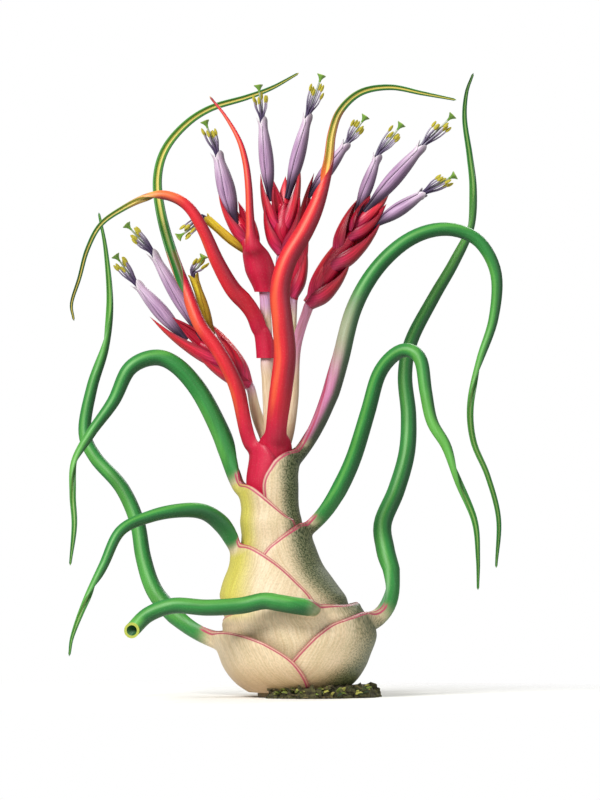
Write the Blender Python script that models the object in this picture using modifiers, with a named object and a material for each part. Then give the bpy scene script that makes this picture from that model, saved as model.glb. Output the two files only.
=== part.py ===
"""Bulbosa air plant, upright on its own root crown.

A hollow-looking bulb of nine overlapping leaf sheaths narrows to a neck. Each sheath runs out
into a round, channelled blade that writhes outwards. A flower stalk rises from the neck and
carries two red bract leaves, five spikes of boat-shaped bracts, and lilac tube flowers with
their stamens. Tables are in millimetres, in the plant's own frame: +X to the viewer's right,
+Y away from the viewer, +Z up, with the origin at the centre of the flat root crown.
"""
import math
import random

import bmesh
import bpy
from mathutils import Vector

MM = 0.001
GAP = 0.3
WELD = 0.0000002

# Bulb and neck: height with outer radius, and height with the sideways place of the middle
BULB_OUTLINE = [(0, 12.8), (4, 19.2), (9, 23.4), (14, 25.3), (20, 25.8), (26, 24.2), (33, 20.9),
                (38, 18.2), (43, 15.2), (49, 12.6), (55, 11.0), (60, 10.0), (66, 9.3), (72, 9.0),
                (79, 9.0), (90, 8.5)]
BULB_MIDDLE = [(0, 0), (20, 0), (26, -1.6), (33, -3.8), (38, -5.1), (49, -6.9), (60, -7.8),
               (70, -8.6), (79, -7.4), (90, -7.4)]
SHEATH_THICKNESS = 0.95
SHEATH_GAP = 0.5
BELLY_GAP = 0.45
BELLY_FROM = (3, 10)
BELLY_TO = (32, 42)
SWELL_BACK = 10
EDGE_THICKNESS = 0.7
LIFT = 0.2

# The height where each sheath leaves the bulb, outermost first. The last three stay nested.
SHEATH_TOPS = [22, 28, 33, 50, 57, 69, 400, 400, 400]
NECK_TOP = 86
NECK_FADE = 8

# Heights that the rings of all hidden sheath parts share, so that their facets stay parallel
SHARED_HEIGHTS = (3.8, 6, 8.4, 13, 19, 26, 34, 43, 52, 60)

BLADE_OPENING = 118
BLADE_STEPS = 6
GROOVE = 0.12
BLEND_STEPS = (0.35, 0.7)

# Each leaf: its place among the sheaths, the compass direction of its middle line, the foot of
# its sheath (half width in degrees, height), the part of its sheath that shows, as rings (half
# width, height of the margins, height of the middle line), its blade as a route and diameters
LEAVES = {
    "leaf_1_lower_left": dict(
        layer=1, azimuth=175, across=11, rings=18,
        foot=(112, 1.6),
        sheath=[(101, 7.6, 7.4), (92, 12, 10.5), (79, 16, 12.2), (63, 19.6, 13.6),
                (42, 21.4, 14.6)],
        route=[(-25.3, 2.2, 19), (-30.4, 3.5, 20.8), (-36.5, 5.5, 24), (-43, 8.5, 30),
               (-46.8, 11, 36), (-49.5, 14, 45), (-51.5, 17, 56), (-56.6, 20, 67),
               (-65, 23.5, 76.5), (-68.5, 26, 85), (-66.2, 28, 99), (-62.2, 30, 112),
               (-60.5, 32, 126), (-61.8, 34, 143), (-64, 35, 155)],
        widths=[(0, 7.6), (0.08, 6.4), (0.2, 5.3), (0.45, 4.5), (0.65, 3.6), (0.8, 2.4),
                (0.93, 1.4), (1, 0.8)]),
    "leaf_2_lower_right": dict(
        layer=2, azimuth=5, across=11, rings=21,
        foot=(118, 2.7),
        sheath=[(106, 9.5, 8.8), (99, 12.6, 11.6), (90, 16.6, 14.8), (80, 20.6, 17.4),
                (65, 24, 19.1), (45, 26, 20.4), (26, 27.6, 21.4)],
        route=[(24.1, 2.2, 25.2), (27.6, 3.6, 26.2), (29.8, 5, 31), (30.2, 7, 38.7),
               (28.4, 10, 47), (27.6, 13, 55.4), (32, 17, 66), (35.4, 20, 78), (36, 23, 90),
               (34.9, 26, 103), (37, 29, 114.2), (44, 32, 127.7), (51, 34, 139.8),
               (56, 36, 151), (57.1, 38, 163), (56, 40, 174.4), (54.4, 41, 186),
               (55, 41, 194.6), (57, 41, 200.4)],
        widths=[(0, 7.6), (0.08, 6.4), (0.35, 5.2), (0.55, 4.2), (0.7, 3.3), (0.85, 2.1),
                (0.95, 1.4), (1, 0.8)]),
    "leaf_3_front_cut": dict(
        layer=3, azimuth=-74, across=11, rings=15, lean=3.2, cut=True,
        blends=(0.3, 0.6, 0.85),
        foot=(124, 3.8),
        sheath=[(128, 18.6, 18), (126, 23, 21), (112, 25.8, 23.2), (94, 27.4, 23.9),
                (76, 28.4, 24.4), (57, 29, 24.8), (38, 29.6, 25.2)],
        route=[(4.4, -22.6, 29), (5.2, -25.6, 29), (3.9, -28.6, 29.2), (-1, -30, 29.9),
               (-5.6, -29.8, 30.7),
               (-10.5, -29.2, 31.3), (-18, -29, 29.8), (-28.5, -29.2, 29.2),
               (-39, -28.8, 29.8), (-47, -27, 27), (-52.6, -25, 21.6)],
        widths=[(0, 5.4), (0.12, 5.5), (0.6, 5.2), (1, 4.9)]),
    "leaf_4_upper_left": dict(
        layer=4, azimuth=188, across=11, rings=18,
        foot=(118, 4.9),
        sheath=[(106, 32.4, 32), (99, 37, 35.6), (88, 41.3, 38.7), (70, 45.4, 41.5),
                (48, 48.6, 43.6)],
        route=[(-18.4, -3, 48.6), (-23.6, -6.5, 55), (-29.5, -9.5, 59.2), (-37, -13, 59.8),
               (-46.4, -16, 58), (-56, -20, 53.4), (-61.4, -23.5, 42.5), (-67, -27, 31),
               (-71, -30, 20.5), (-72, -31, 14.6)],
        widths=[(0, 7.0), (0.15, 5.4), (0.4, 3.9), (0.65, 3.1), (0.85, 1.9), (1, 0.8)]),
    "leaf_5_right_neck": dict(
        layer=5, azimuth=-8, across=11, rings=18,
        foot=(118, 6),
        sheath=[(112, 42.4, 42), (98, 47.2, 45.6), (82, 50, 47.4), (58, 53.4, 49.6),
                (34, 55.8, 51.4)],
        route=[(3.6, -1.6, 55), (8.2, -3.2, 58.8), (13, -5.4, 65.6), (18, -8, 76.2),
               (22.6, -11, 91), (26, -13, 102.8), (30.6, -15, 109), (35.4, -17, 110.9),
               (39.4, -19, 107.6), (41, -21, 97.5), (43, -23, 88), (47.6, -25, 80),
               (51.6, -27, 68.5), (56.4, -28, 56.5), (57.4, -29, 45), (57.4, -29, 35.5)],
        widths=[(0, 6.2), (0.1, 5.4), (0.3, 4.8), (0.5, 4.3), (0.62, 3.8), (0.78, 2.6),
                (0.9, 1.7), (1, 0.8)]),
    "leaf_6_left_neck": dict(
        layer=6, azimuth=174, across=10, rings=18,
        foot=(138, 7.2),
        sheath=[(142, 55.6, 55), (124, 58, 57), (102, 61.4, 59.4), (80, 65, 61.8),
                (58, 68, 63.8)],
        route=[(-17.4, 1.2, 67.4), (-20.6, 2, 74.6), (-24.8, 3, 85.5), (-31.4, 4, 98),
               (-38.8, 4, 106.2), (-45.8, 4, 108.6), (-53.6, 3, 105), (-58.8, 2, 94.5),
               (-66, 0, 84.3), (-71, -3, 75), (-71.6, -6, 65), (-71, -9, 55),
               (-72.2, -12, 43)],
        widths=[(0, 6.9), (0.12, 6.2), (0.35, 5.4), (0.5, 4.6), (0.65, 3.3), (0.8, 2.2),
                (0.92, 1.7), (1, 0.8)]),
    "leaf_7_right_arch": dict(
        layer=7, azimuth=6, across=9, rings=20,
        foot=(118, 8.4),
        sheath=[(113, 68, 67), (99, 73.8, 71), (84, 77.4, 73), (60, 78.8, 74.2)],
        route=[(0.2, 0.5, 78.6), (4.8, 0.5, 85), (10, 0.5, 95.5), (13.8, 1, 107.5),
               (18, 2, 123.5), (24.4, 3, 135.5), (33, 4, 144.4), (42, 4.5, 149),
               (51, 5, 149.4), (59, 5, 145.2), (63.9, 4.5, 135), (63, 4, 121),
               (58.8, 2.5, 108), (55.6, 0, 94), (56.4, -3, 82), (61, -6, 70.6),
               (64.4, -8, 57), (63.6, -10, 42.2)],
        widths=[(0, 6.6), (0.15, 5.6), (0.35, 4.7), (0.52, 3.9), (0.68, 2.6), (0.85, 1.8),
                (0.95, 1.5), (1, 0.8)]),
    "leaf_8_tall_left": dict(
        layer=8, azimuth=184, across=9, rings=19,
        foot=(118, 9.6),
        sheath=[(112, 68.6, 68), (104, 74, 73), (86, 77.8, 75.4), (64, 81, 77.6)],
        route=[(-14.2, -0.6, 81.4), (-16.3, -2, 88), (-19.6, -3, 100), (-25.2, -3, 110.8),
               (-31, -2, 119), (-35.2, 1, 129.4), (-40, 5, 142), (-43.6, 9, 155),
               (-44.8, 12, 166), (-42.4, 14, 175.4), (-36, 15.5, 183.4),
               (-27.8, 16, 188.8), (-16.3, 16, 192.3), (-8, 15.5, 195.4), (0, 15, 199.8)],
        widths=[(0, 6.8), (0.08, 5.2), (0.25, 4.4), (0.45, 3.6), (0.6, 3.0), (0.75, 2.4),
                (0.9, 1.7), (1, 0.8)]),
    "leaf_9_red_centre": dict(
        layer=9, azimuth=-84, across=9, rings=18,
        foot=(112, 10.8),
        sheath=[(110, 68, 68), (104, 75, 74.2), (88, 79.6, 77.6), (62, 82.6, 79.8)],
        route=[(-6.7, -5.9, 84.2), (-6.3, -8, 89), (-4.8, -10, 100), (-3.8, -11, 110),
               (-4.6, -12, 120), (-5.4, -12, 130), (-3, -12, 139.5), (2.8, -11.5, 149.5),
               (7, -10.5, 159), (9.9, -9, 170), (11.2, -7.5, 180), (14, -6.5, 187.5),
               (20.5, -5.5, 193.3), (30, -5, 194.9), (40, -5, 193), (50.2, -5, 191)],
        widths=[(0, 6.4), (0.1, 7.3), (0.3, 6.4), (0.48, 5.6), (0.56, 4.2), (0.66, 2.9),
                (0.8, 2.2), (0.93, 1.4), (1, 0.8)]),
}

# Flower stalk: its own route, with a radius at each point, and those of its side stalks
STALK = [(0, 0, 6, 3.6), (-1.2, 0, 25, 3.0), (-5, 0, 40, 2.6), (-7.6, 0, 55, 2.3),
         (-8.6, 0, 70, 2.1), (-8.6, 0, 85, 2.0), (-9.4, 0, 105, 2.0), (-10.2, 0, 128, 1.9)]
SIDE_STALKS = [
    [(-8.9, 0.4, 75, 1.4), (-10.4, 3.2, 83, 1.5), (-13.2, 6.4, 91.5, 1.9), (-14.7, 7.6, 98.3, 1.5)],
    [(-9.9, 0.4, 125, 1.1), (-6.6, 3, 133, 1.2), (-5.3, 2.4, 141, 1.2)],
    [(-8.3, 0.4, 74, 1.4), (-3.4, 3.4, 81, 1.6), (-1.2, 5.2, 95, 1.7), (-0.2, 5.0, 112, 1.6),
     (3.5, 4.0, 124.2, 1.6)],
    [(-0.9, 5.4, 100, 1.1), (-1.6, 7.4, 112, 1.3), (-1.0, 8.0, 126.6, 1.2)],
]
CROWN_OUTLINE = [(0, 0), (12.6, 0), (12.6, 1), (11.8, 4.2), (10.0, 6.8), (6.2, 10.4), (4, 16),
                 (0, 18)]
CROWN_SIDES = 20

# Red leaves on the stalk: each is a short sheath round the stalk, then a blade
STALK_LEAVES = {
    "bract_leaf_lower": dict(
        azimuth=195, across=7, rings=17, start_radius=2.4, full_radius=2.9, rise=(108, 118),
        middle=(-9.6, -9.8), heights=(108.4, 119),
        sheath=[(160, 108.4, 108.4), (150, 111, 110.6), (120, 115, 113), (85, 118.4, 115.4)],
        route=[(-11.9, -0.7, 118.2), (-12.9, -1.6, 122), (-15.6, -3, 125.6),
               (-20.4, -4.4, 130.4), (-25.3, -6, 139), (-30, -7, 149.5), (-35, -7, 157),
               (-41.5, -6.5, 160.3), (-48, -6, 159.7), (-55.5, -5.5, 156.2),
               (-62.7, -5, 151), (-67, -4.5, 143), (-69.5, -4, 134), (-72, -3.5, 126),
               (-71.4, -3.5, 121)],
        widths=[(0, 6.2), (0.06, 6.0), (0.2, 4.8), (0.35, 3.8), (0.5, 3.0), (0.62, 1.9),
                (0.8, 1.5), (0.95, 1.1), (1, 0.8)]),
    "bract_leaf_upper": dict(
        azimuth=-108, across=7, rings=11, start_radius=2.4, full_radius=4.2, rise=(129, 137),
        middle=(-10.2, -12.6), heights=(129.6, 142.6),
        sheath=[(112, 129.6, 129.6), (108, 132, 131.6), (100, 135.5, 134.6),
                (88, 139, 137.6), (70, 142.5, 140.4)],
        route=[(-13.9, -4.6, 143.6), (-14.6, -5.2, 147), (-15, -5, 154), (-15.4, -4.4, 163),
               (-16.4, -3, 171), (-18.6, -1, 178.4), (-23, 1.5, 186), (-27.5, 3, 191.7)],
        widths=[(0, 6.0), (0.07, 3.6), (0.2, 2.7), (0.4, 2.3), (0.6, 1.9), (0.8, 1.2),
                (1, 0.7)]),
}

# Spikes: the axis of each, then its bracts as foot, tip, width and the side that the keel
# faces (0 is right of its growth, 90 away from the viewer, 180 left, 270 to the viewer)
SPIKES = {
    "spike_1_lower_left": dict(
        axis=[(-14.9, 7.7, 98.9), (-19, 8, 104.5), (-25, 8.2, 109.5), (-31, 8.4, 113)],
        bracts=[((-15.2, 7.7, 99.4), (-33, 7.2, 110.2), 5.6, 190),
                ((-22, 8, 105), (-47.4, 8.8, 121.3), 5.2, 180),
                ((-22.5, 7.6, 107.4), (-40.3, 7.4, 121.8), 4.8, 290),
                ((-15.2, 8, 99.6), (-28.2, 8.4, 120.6), 6.0, 10),
                ((-18, 9, 103.5), (-32, 10.6, 119), 5.0, 70),
                ((-17, 7, 102.5), (-24.5, 5.4, 116.2), 4.6, 330)]),
    "spike_2_top": dict(
        axis=[(-10.4, 0.6, 128.9), (-12.3, 1.2, 137), (-15.2, 2, 144), (-18.4, 2.6, 151)],
        bracts=[((-15.6, 2.6, 144.4), (-25.6, 2.4, 161.6), 5.2, 200),
                ((-15, 2.4, 144.6), (-18.4, 2.2, 158.6), 4.6, 330),
                ((-14, 2.8, 142.6), (-16, 5.6, 157), 4.8, 110),
                ((-16, 2.6, 145), (-21.5, 6, 158), 4.6, 120)]),
    "spike_3_middle": dict(
        axis=[(-5.2, 2.4, 141.5), (-4.8, 2.2, 150), (-4, 2, 158)],
        bracts=[((-5.4, 2.2, 141.8), (-10.7, 1.4, 158.2), 5.6, 200),
                ((-6, 2.2, 148), (-12, 2.8, 167.2), 4.4, 180),
                ((-4.8, 1.6, 150), (-7.5, 0.4, 165), 4.0, 250),
                ((-4.4, 2.8, 151), (-3.6, 4.6, 166.6), 4.2, 80),
                ((-4.3, 1.9, 146.5), (1.4, 2.6, 170), 4.6, 10),
                ((-4.5, 1.4, 143), (1.4, 0.8, 160), 5.0, 330)]),
    "spike_4_behind": dict(
        axis=[(-0.95, 8.05, 127.2), (0.4, 8.3, 140), (3, 8.4, 154)],
        bracts=[((-0.9, 8, 127.8), (3.2, 7.6, 146), 5.2, 350),
                ((-0.6, 8.4, 133), (-2, 9.4, 153), 5.0, 170),
                ((0.8, 8.2, 142), (5.1, 8.6, 167.8), 4.6, 200),
                ((1.4, 8.6, 146), (8.8, 9.4, 162.6), 4.6, 20)]),
    "spike_5_right": dict(
        axis=[(3.7, 3.9, 124.8), (8, 3.8, 133), (13.5, 3.6, 142), (19.5, 3.5, 150)],
        bracts=[((3.9, 3.8, 125.1), (17.8, 3.2, 139.4), 6.4, 345),
                ((4.2, 4, 126), (14.6, 4.2, 148), 6.0, 190),
                ((10.8, 3.4, 136.6), (27.6, 3, 152), 6.0, 345),
                ((12.4, 3.8, 141.5), (19.3, 4.2, 159.8), 5.4, 200),
                ((17, 3.4, 146.4), (29, 3.0, 157.4), 4.6, 340),
                ((18.6, 4.4, 149.6), (29.9, 5, 161.4), 4.4, 60),
                ((17.6, 3.4, 149), (23.4, 2.8, 160.6), 4.2, 235)]),
}
BRACT_DEPTH = 0.62
BRACT_BOW = 0.1
AXIS_RADIUS = 1.1
AXIS_STEPS = 4

# Flowers: spike, foot of the tube, mouth, greatest width, tip of the stigma
FLOWERS = [
    ("spike_1_lower_left", (-38.2, 8.2, 117.0), (-51.6, 9.4, 132.4), 4.8, (-58.2, 9.6, 141.4)),
    ("spike_1_lower_left", (-32.4, 9.4, 118.2), (-46.4, 12, 142.2), 4.6, (-54.7, 13, 151.4)),
    ("spike_1_lower_left", (-27.8, 6.8, 118.4), (-33.2, 5.4, 135), 3.0, (-29.8, 4.4, 141.1)),
    ("spike_2_top", (-20.6, 2.6, 154.4), (-25.6, 3, 174), 5.6, (-29.4, 3.4, 184.3)),
    ("spike_2_top", (-17.8, 1.6, 143.6), (-29.2, 0.4, 153.2), 2.8, (-38, -0.6, 147)),
    ("spike_3_middle", (-8.9, 2.6, 162.6), (-11.2, 3.2, 185), 4.5, (-12.2, 3.6, 195.8)),
    ("spike_3_middle", (-2.2, 2.4, 163.4), (3.5, 3, 186.2), 4.5, (8, 3.2, 199)),
    ("spike_4_behind", (5.8, 9, 163.4), (16, 9.6, 177.4), 4.0, (22.1, 9.8, 186)),
    ("spike_5_right", (20.2, 4, 157.6), (25.9, 4.6, 173.4), 4.0, (33.6, 5, 183.4)),
    ("spike_5_right", (24.2, 3.6, 158.2), (40.3, 3.6, 176.6), 4.8, (49.9, 3.6, 186.2)),
    ("spike_5_right", (27.6, 3.2, 152.8), (40.6, 2.2, 161.3), 4.4, (50.6, 1.4, 167)),
]
TUBE_SUNK = 4.0
TUBE_SIDES = 8
CLEARANCE_SIDES = 6
# Outline of a flower tube: share of its length, share of its greatest radius
TUBE_OUTLINE = [(0, 0.34), (0.14, 0.5), (0.34, 0.88), (0.52, 1.0), (0.72, 0.86), (0.9, 0.56)]
MOUTH_RADIUS = 1.25
MOUTH_HOLE = 0.85
MOUTH_DEPTH = 2.4
PLUG_RADIUS = 0.5
HEAD_RADIUS = 1.15
HEAD_HEIGHT = 0.9
STAMENS = 6
FILAMENT_RADIUS = 0.4
STYLE_RADIUS = 0.36
STAMEN_REACH = 0.62
STAMEN_SPREAD = 1.9
ANTHER_RADIUS = 0.75
ANTHER_LENGTH = 2.6
STIGMA_RADIUS = 1.25
STIGMA_LENGTH = 2.2

ROOT_SEED = 11
ROOT_ARC = (-128, 52)
ROOT_COUNT = 8
ROOT_RADIUS = 0.5
MAT_BAND = (13.4, 24.5)
MAT_HEIGHT = 3.4

COLOURS = {
    "crown": ((0.66, 0.55, 0.36), 0.75), "leaf_green": ((0.09, 0.34, 0.12), 0.5),
    "leaf_red": ((0.72, 0.04, 0.05), 0.45), "bract": ((0.6, 0.03, 0.08), 0.45),
    "petal": ((0.5, 0.32, 0.55), 0.5), "withered": ((0.8, 0.65, 0.05), 0.6),
    "stamen": ((0.55, 0.5, 0.1), 0.6), "root": ((0.07, 0.06, 0.03), 0.9),
}


def smoothstep(low, high, value):
    t = min(max((value - low) / (high - low), 0.0), 1.0)
    return t * t * (3 - 2 * t)


def read_curve(table, place):
    """Reads a smooth curve through a table of (place, value) pairs."""
    if place <= table[0][0]:
        return table[0][1]
    if place >= table[-1][0]:
        return table[-1][1]
    last = len(table) - 1
    i = max(k for k in range(last) if table[k][0] <= place)
    slopes = []
    for k in (i, i + 1):
        before, after = table[max(k - 1, 0)], table[min(k + 1, last)]
        slopes.append((after[1] - before[1]) / (after[0] - before[0]))
    width = table[i + 1][0] - table[i][0]
    t = (place - table[i][0]) / width
    rise = table[i + 1][1] - table[i][1]
    bend = slopes[0] * width - rise
    lift = rise - slopes[1] * width
    return table[i][1] + rise * t + t * (1 - t) * ((1 - t) * bend + t * lift)


def smooth_route(points, count, keep_bends=12.0):
    """Points along a smooth curve through a route, closer together where it bends."""
    fine = []
    padded = [2 * points[0] - points[1]] + points + [2 * points[-1] - points[-2]]
    for i in range(1, len(padded) - 2):
        a, b, c, d = padded[i - 1:i + 3]
        for k in range(24):
            t = k / 24
            fine.append(0.5 * (2 * b + (c - a) * t + (2 * a - 5 * b + 4 * c - d) * t ** 2
                               + (3 * b - a - 3 * c + d) * t ** 3))
    fine.append(points[-1].copy())
    weights = [0.0]
    for i in range(1, len(fine)):
        step = (fine[i] - fine[i - 1]).length
        after = fine[min(i + 1, len(fine) - 1)] - fine[i]
        turn = (fine[i] - fine[i - 1]).angle(after, 0.0) if after.length > 0 else 0.0
        weights.append(weights[-1] + step + keep_bends * turn)
    lengths = [0.0]
    for i in range(1, len(fine)):
        lengths.append(lengths[-1] + (fine[i] - fine[i - 1]).length)
    picked = []
    at = 0
    for k in range(count):
        goal = weights[-1] * k / (count - 1)
        while at < len(fine) - 2 and weights[at + 1] < goal:
            at += 1
        part = (goal - weights[at]) / (weights[at + 1] - weights[at])
        place = fine[at].lerp(fine[at + 1], part)
        share = (lengths[at] + (lengths[at + 1] - lengths[at]) * part) / lengths[-1]
        picked.append((place, (fine[at + 1] - fine[at]).normalized(), share))
    return picked


def layer_gap(z):
    belly = smoothstep(*BELLY_FROM, z) * (1 - smoothstep(*BELLY_TO, z))
    return SHEATH_GAP + BELLY_GAP * belly


def layer_radius(layer, z):
    """Outer radius that a sheath may fill, after the sheaths outside it."""
    radius = read_curve(BULB_OUTLINE, z)
    below = 0
    for top in SHEATH_TOPS[:layer - 1]:
        band = min(SWELL_BACK, max(top - below, 4))
        there = 1 - smoothstep(top - band, top, z)
        radius -= (SHEATH_THICKNESS + layer_gap(z)) * there
        below = top
    return radius


def bulb_surface(layer):
    """A function that gives the middle and the inner radius of a sheath at a height."""
    def surface(z):
        inner = layer_radius(layer + 1, z) + layer_gap(z)
        inner *= 1 - smoothstep(NECK_TOP, NECK_TOP + NECK_FADE, z)
        return read_curve(BULB_MIDDLE, z), inner
    return surface


def stalk_surface(leaf):
    """The same for a leaf whose sheath wraps the flower stalk."""
    low, high = leaf["heights"]

    def surface(z):
        share = min(max((z - low) / (high - low), 0), 1)
        middle = leaf["middle"][0] + (leaf["middle"][1] - leaf["middle"][0]) * share
        swell = smoothstep(*leaf["rise"], z)
        inner = leaf["start_radius"] + (leaf["full_radius"] - leaf["start_radius"]) * swell
        inner *= 1 - smoothstep(high, high + NECK_FADE, z)
        return middle, inner
    return surface


def round_place(surface, turn, z, radius):
    middle = surface(z)[0]
    angle = math.radians(turn)
    return Vector((middle + radius * math.cos(angle), radius * math.sin(angle), z))


def round_reading(surface, point, near):
    """Turns a point into (degrees, height, radius) about the middle of the bulb."""
    middle = surface(point.z)[0]
    turn = math.degrees(math.atan2(point.y, point.x - middle))
    turn += 360 * round((near - turn) / 360)
    return turn, point.z, math.hypot(point.x - middle, point.y)


def sheath_steps(leaf):
    """All rings of a sheath: its foot, its hidden part, then the part that shows."""
    if "foot" not in leaf:
        return leaf["sheath"]
    half, foot = leaf["foot"]
    top_half, _, top = leaf["sheath"][0]
    steps = [(half, foot, foot)]
    for z in SHARED_HEIGHTS:
        if foot + 0.8 < z < top - 2.4:
            wide = half + (top_half - half) * (z - foot) / (top - foot)
            steps.append((wide, z, z))
    return steps + leaf["sheath"]


def sheath_ring(leaf, surface, ring, slant):
    half, margin, low = ring
    outer, inner = [], []
    for i in range(leaf["across"] + 1):
        s = 2 * i / leaf["across"] - 1
        z = low + (margin - low) * abs(s) ** 1.6 + leaf.get("lean", 0) * s * slant
        radius = surface(z)[1]
        turn = leaf["azimuth"] + half * s
        inner.append((turn, z, radius))
        outer.append((turn, z, radius + SHEATH_THICKNESS))
    return outer, inner


def blade_ring(place, side, up, radius, across, opening=BLADE_OPENING):
    """A ring open towards up: points round its back, then points along its channel."""
    outer, inner = [], []
    edge = math.radians(opening)
    for i in range(across + 1):
        s = 2 * i / across - 1
        around = s * edge
        outer.append(place + radius * (math.sin(around) * side - math.cos(around) * up))
    for i in range(across + 1):
        s = 2 * i / across - 1
        dip = GROOVE * (1 - s * s)
        inner.append(place + radius * (math.sin(edge) * s * 0.9 * side
                                       + (-math.cos(edge) - dip) * up))
    return outer, inner


def settle(points, surface, azimuth, extra):
    """Pushes points outwards until they are clear of the sheaths inside."""
    settled = []
    for point in points:
        turn, z, radius = round_reading(surface, point, azimuth)
        settled.append((turn, z, max(radius, surface(z)[1] + extra)))
    return settled


def mix(a, b, share, outward=None):
    """Places between two rows of (degrees, height, radius), with a share of its own outwards."""
    shares = (share, share, share if outward is None else outward)
    return [tuple(p + (q - p) * part for p, q, part in zip(one, two, shares))
            for one, two in zip(a, b)]


def strip(bm, lower, upper):
    """Joins two rows of points, which may differ in number, with triangles."""
    i = j = 0
    while i < len(lower) - 1 or j < len(upper) - 1:
        ahead_low = (i + 1) / max(len(lower) - 1, 1) if i < len(lower) - 1 else 9
        ahead_up = (j + 1) / max(len(upper) - 1, 1) if j < len(upper) - 1 else 9
        if abs(ahead_low - ahead_up) < 1e-6:
            bm.faces.new((lower[i], lower[i + 1], upper[j + 1], upper[j]))
            i += 1
            j += 1
        elif ahead_low < ahead_up:
            bm.faces.new((lower[i], lower[i + 1], upper[j]))
            i += 1
        else:
            bm.faces.new((lower[i], upper[j + 1], upper[j]))
            j += 1


def join_rings(bm, one, two):
    """Skins between two rings, each a row round the back and a row along the channel."""
    strip(bm, one[0], two[0])
    strip(bm, two[1], one[1])
    bm.faces.new((one[0][-1], one[1][-1], two[1][-1], two[0][-1]))
    bm.faces.new((one[1][0], one[0][0], two[0][0], two[1][0]))


def close_cut(bm, ring, direction):
    """Ends a cut blade with a rim and a hollow."""
    loop = ring[0] + ring[1][::-1]
    centre = sum((v.co for v in loop), Vector()) / len(loop)
    for scale, depth in ((0.55, 0), (0.45, 2.2)):
        inside = [bm.verts.new(centre + (v.co - centre) * scale / last_scale(scale)
                               - direction * depth * MM) for v in loop]
        for i, v in enumerate(loop):
            j = (i + 1) % len(loop)
            bm.faces.new((v, loop[j], inside[j], inside[i]))
        loop = inside
    bm.faces.new(loop)


def last_scale(scale):
    return 1.0 if scale > 0.5 else 0.55


def leaf_mesh(name, leaf, surface):
    """One leaf, from its sheath at the foot to the end of its blade."""
    azimuth = leaf["azimuth"]
    across = leaf["across"]
    route = smooth_route([Vector(p) for p in leaf["route"]], leaf["rings"])
    place, ahead, _ = route[0]
    angle = math.radians(azimuth)
    side = Vector((-math.sin(angle), math.cos(angle), 0))
    side = (side - ahead * side.dot(ahead)).normalized()

    bm = bmesh.new()
    rings = []

    def add(outer, inner, turned=True):
        if turned:
            outer = [round_place(surface, *p) for p in outer]
            inner = [round_place(surface, *p) for p in inner]
        rings.append(([bm.verts.new(p * MM) for p in outer],
                      [bm.verts.new(p * MM) for p in inner]))

    steps = sheath_steps(leaf)
    for k, ring in enumerate(steps):
        slant = math.sin(math.pi * (k / (len(steps) - 1)) ** 1.5)
        last = sheath_ring(leaf, surface, ring, slant)
        add(*last)
    start = blade_ring(place, side, ahead.cross(side), leaf["widths"][0][1] / 2, across)
    first = (settle(start[0], surface, azimuth, EDGE_THICKNESS),
             settle(start[1], surface, azimuth, 0))
    for share in leaf.get("blends", BLEND_STEPS):
        add(mix(last[0], first[0], share), mix(last[1], first[1], share, share ** 3))
    add(*first)
    for k, (place, ahead, share) in enumerate(route[1:], 1):
        side = (side - ahead * side.dot(ahead)).normalized()
        radius = read_curve(leaf["widths"], share) / 2
        outer, inner = blade_ring(place, side, ahead.cross(side), radius, BLADE_STEPS)
        inner = [inner[BLADE_STEPS // 2]]
        outer = settle(outer, surface, azimuth, SHEATH_THICKNESS + LIFT * (k + 1))
        add(outer, settle(inner, surface, azimuth, LIFT * k))
    for one, two in zip(rings, rings[1:]):
        join_rings(bm, one, two)
    strip(bm, rings[0][1], rings[0][0])
    if leaf.get("cut"):
        close_cut(bm, rings[-1], route[-1][1])
    else:
        tip = bm.verts.new((route[-1][0] + route[-1][1] * 0.8) * MM)
        loop = rings[-1][0] + rings[-1][1][::-1]
        for i, v in enumerate(loop):
            bm.faces.new((v, loop[(i + 1) % len(loop)], tip))
    return finished(name, bm)


def finished(name, bm):
    bmesh.ops.recalc_face_normals(bm, faces=bm.faces)
    mesh = bpy.data.meshes.new(name)
    bm.to_mesh(mesh)
    bm.free()
    return mesh


def new_object(name, mesh, collection, colour):
    obj = bpy.data.objects.new(name, mesh)
    collection.objects.link(obj)
    give_colour(obj, colour)
    return obj


def give_colour(obj, colour):
    obj.data.materials.clear()
    material = bpy.data.materials.get(colour)
    if material is None:
        shade, roughness = COLOURS[colour]
        material = bpy.data.materials.new(colour)
        material.use_nodes = True
        principled = material.node_tree.nodes["Principled BSDF"]
        principled.inputs["Base Color"].default_value = (*shade, 1)
        principled.inputs["Roughness"].default_value = roughness
    obj.data.materials.append(material)


def evaluated_mesh(obj):
    bpy.context.view_layer.update()
    graph = bpy.context.evaluated_depsgraph_get()
    mesh = bpy.data.meshes.new_from_object(obj.evaluated_get(graph))
    mesh.transform(obj.matrix_world)
    return mesh


def tube(name, points, radii, collection, sides=4):
    """A closed mesh tube along a smooth route, swept by a curve's bevel."""
    curve = bpy.data.curves.new(name, "CURVE")
    curve.dimensions = "3D"
    curve.bevel_depth = MM
    curve.bevel_resolution = max((sides - 4) // 2, 0)
    curve.use_fill_caps = True
    spline = curve.splines.new("POLY")
    spline.points.add(len(points) - 1)
    for bead, place, radius in zip(spline.points, points, radii):
        bead.co = (*(place * MM), 1)
        bead.radius = radius
    swept = bpy.data.objects.new(name, curve)
    collection.objects.link(swept)
    mesh = evaluated_mesh(swept)
    bpy.data.objects.remove(swept)
    bm = bmesh.new()
    bm.from_mesh(mesh)
    bmesh.ops.remove_doubles(bm, verts=bm.verts, dist=0.000001)
    closed = finished(name, bm)
    obj = bpy.data.objects.new(name, closed)
    collection.objects.link(obj)
    return obj


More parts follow.
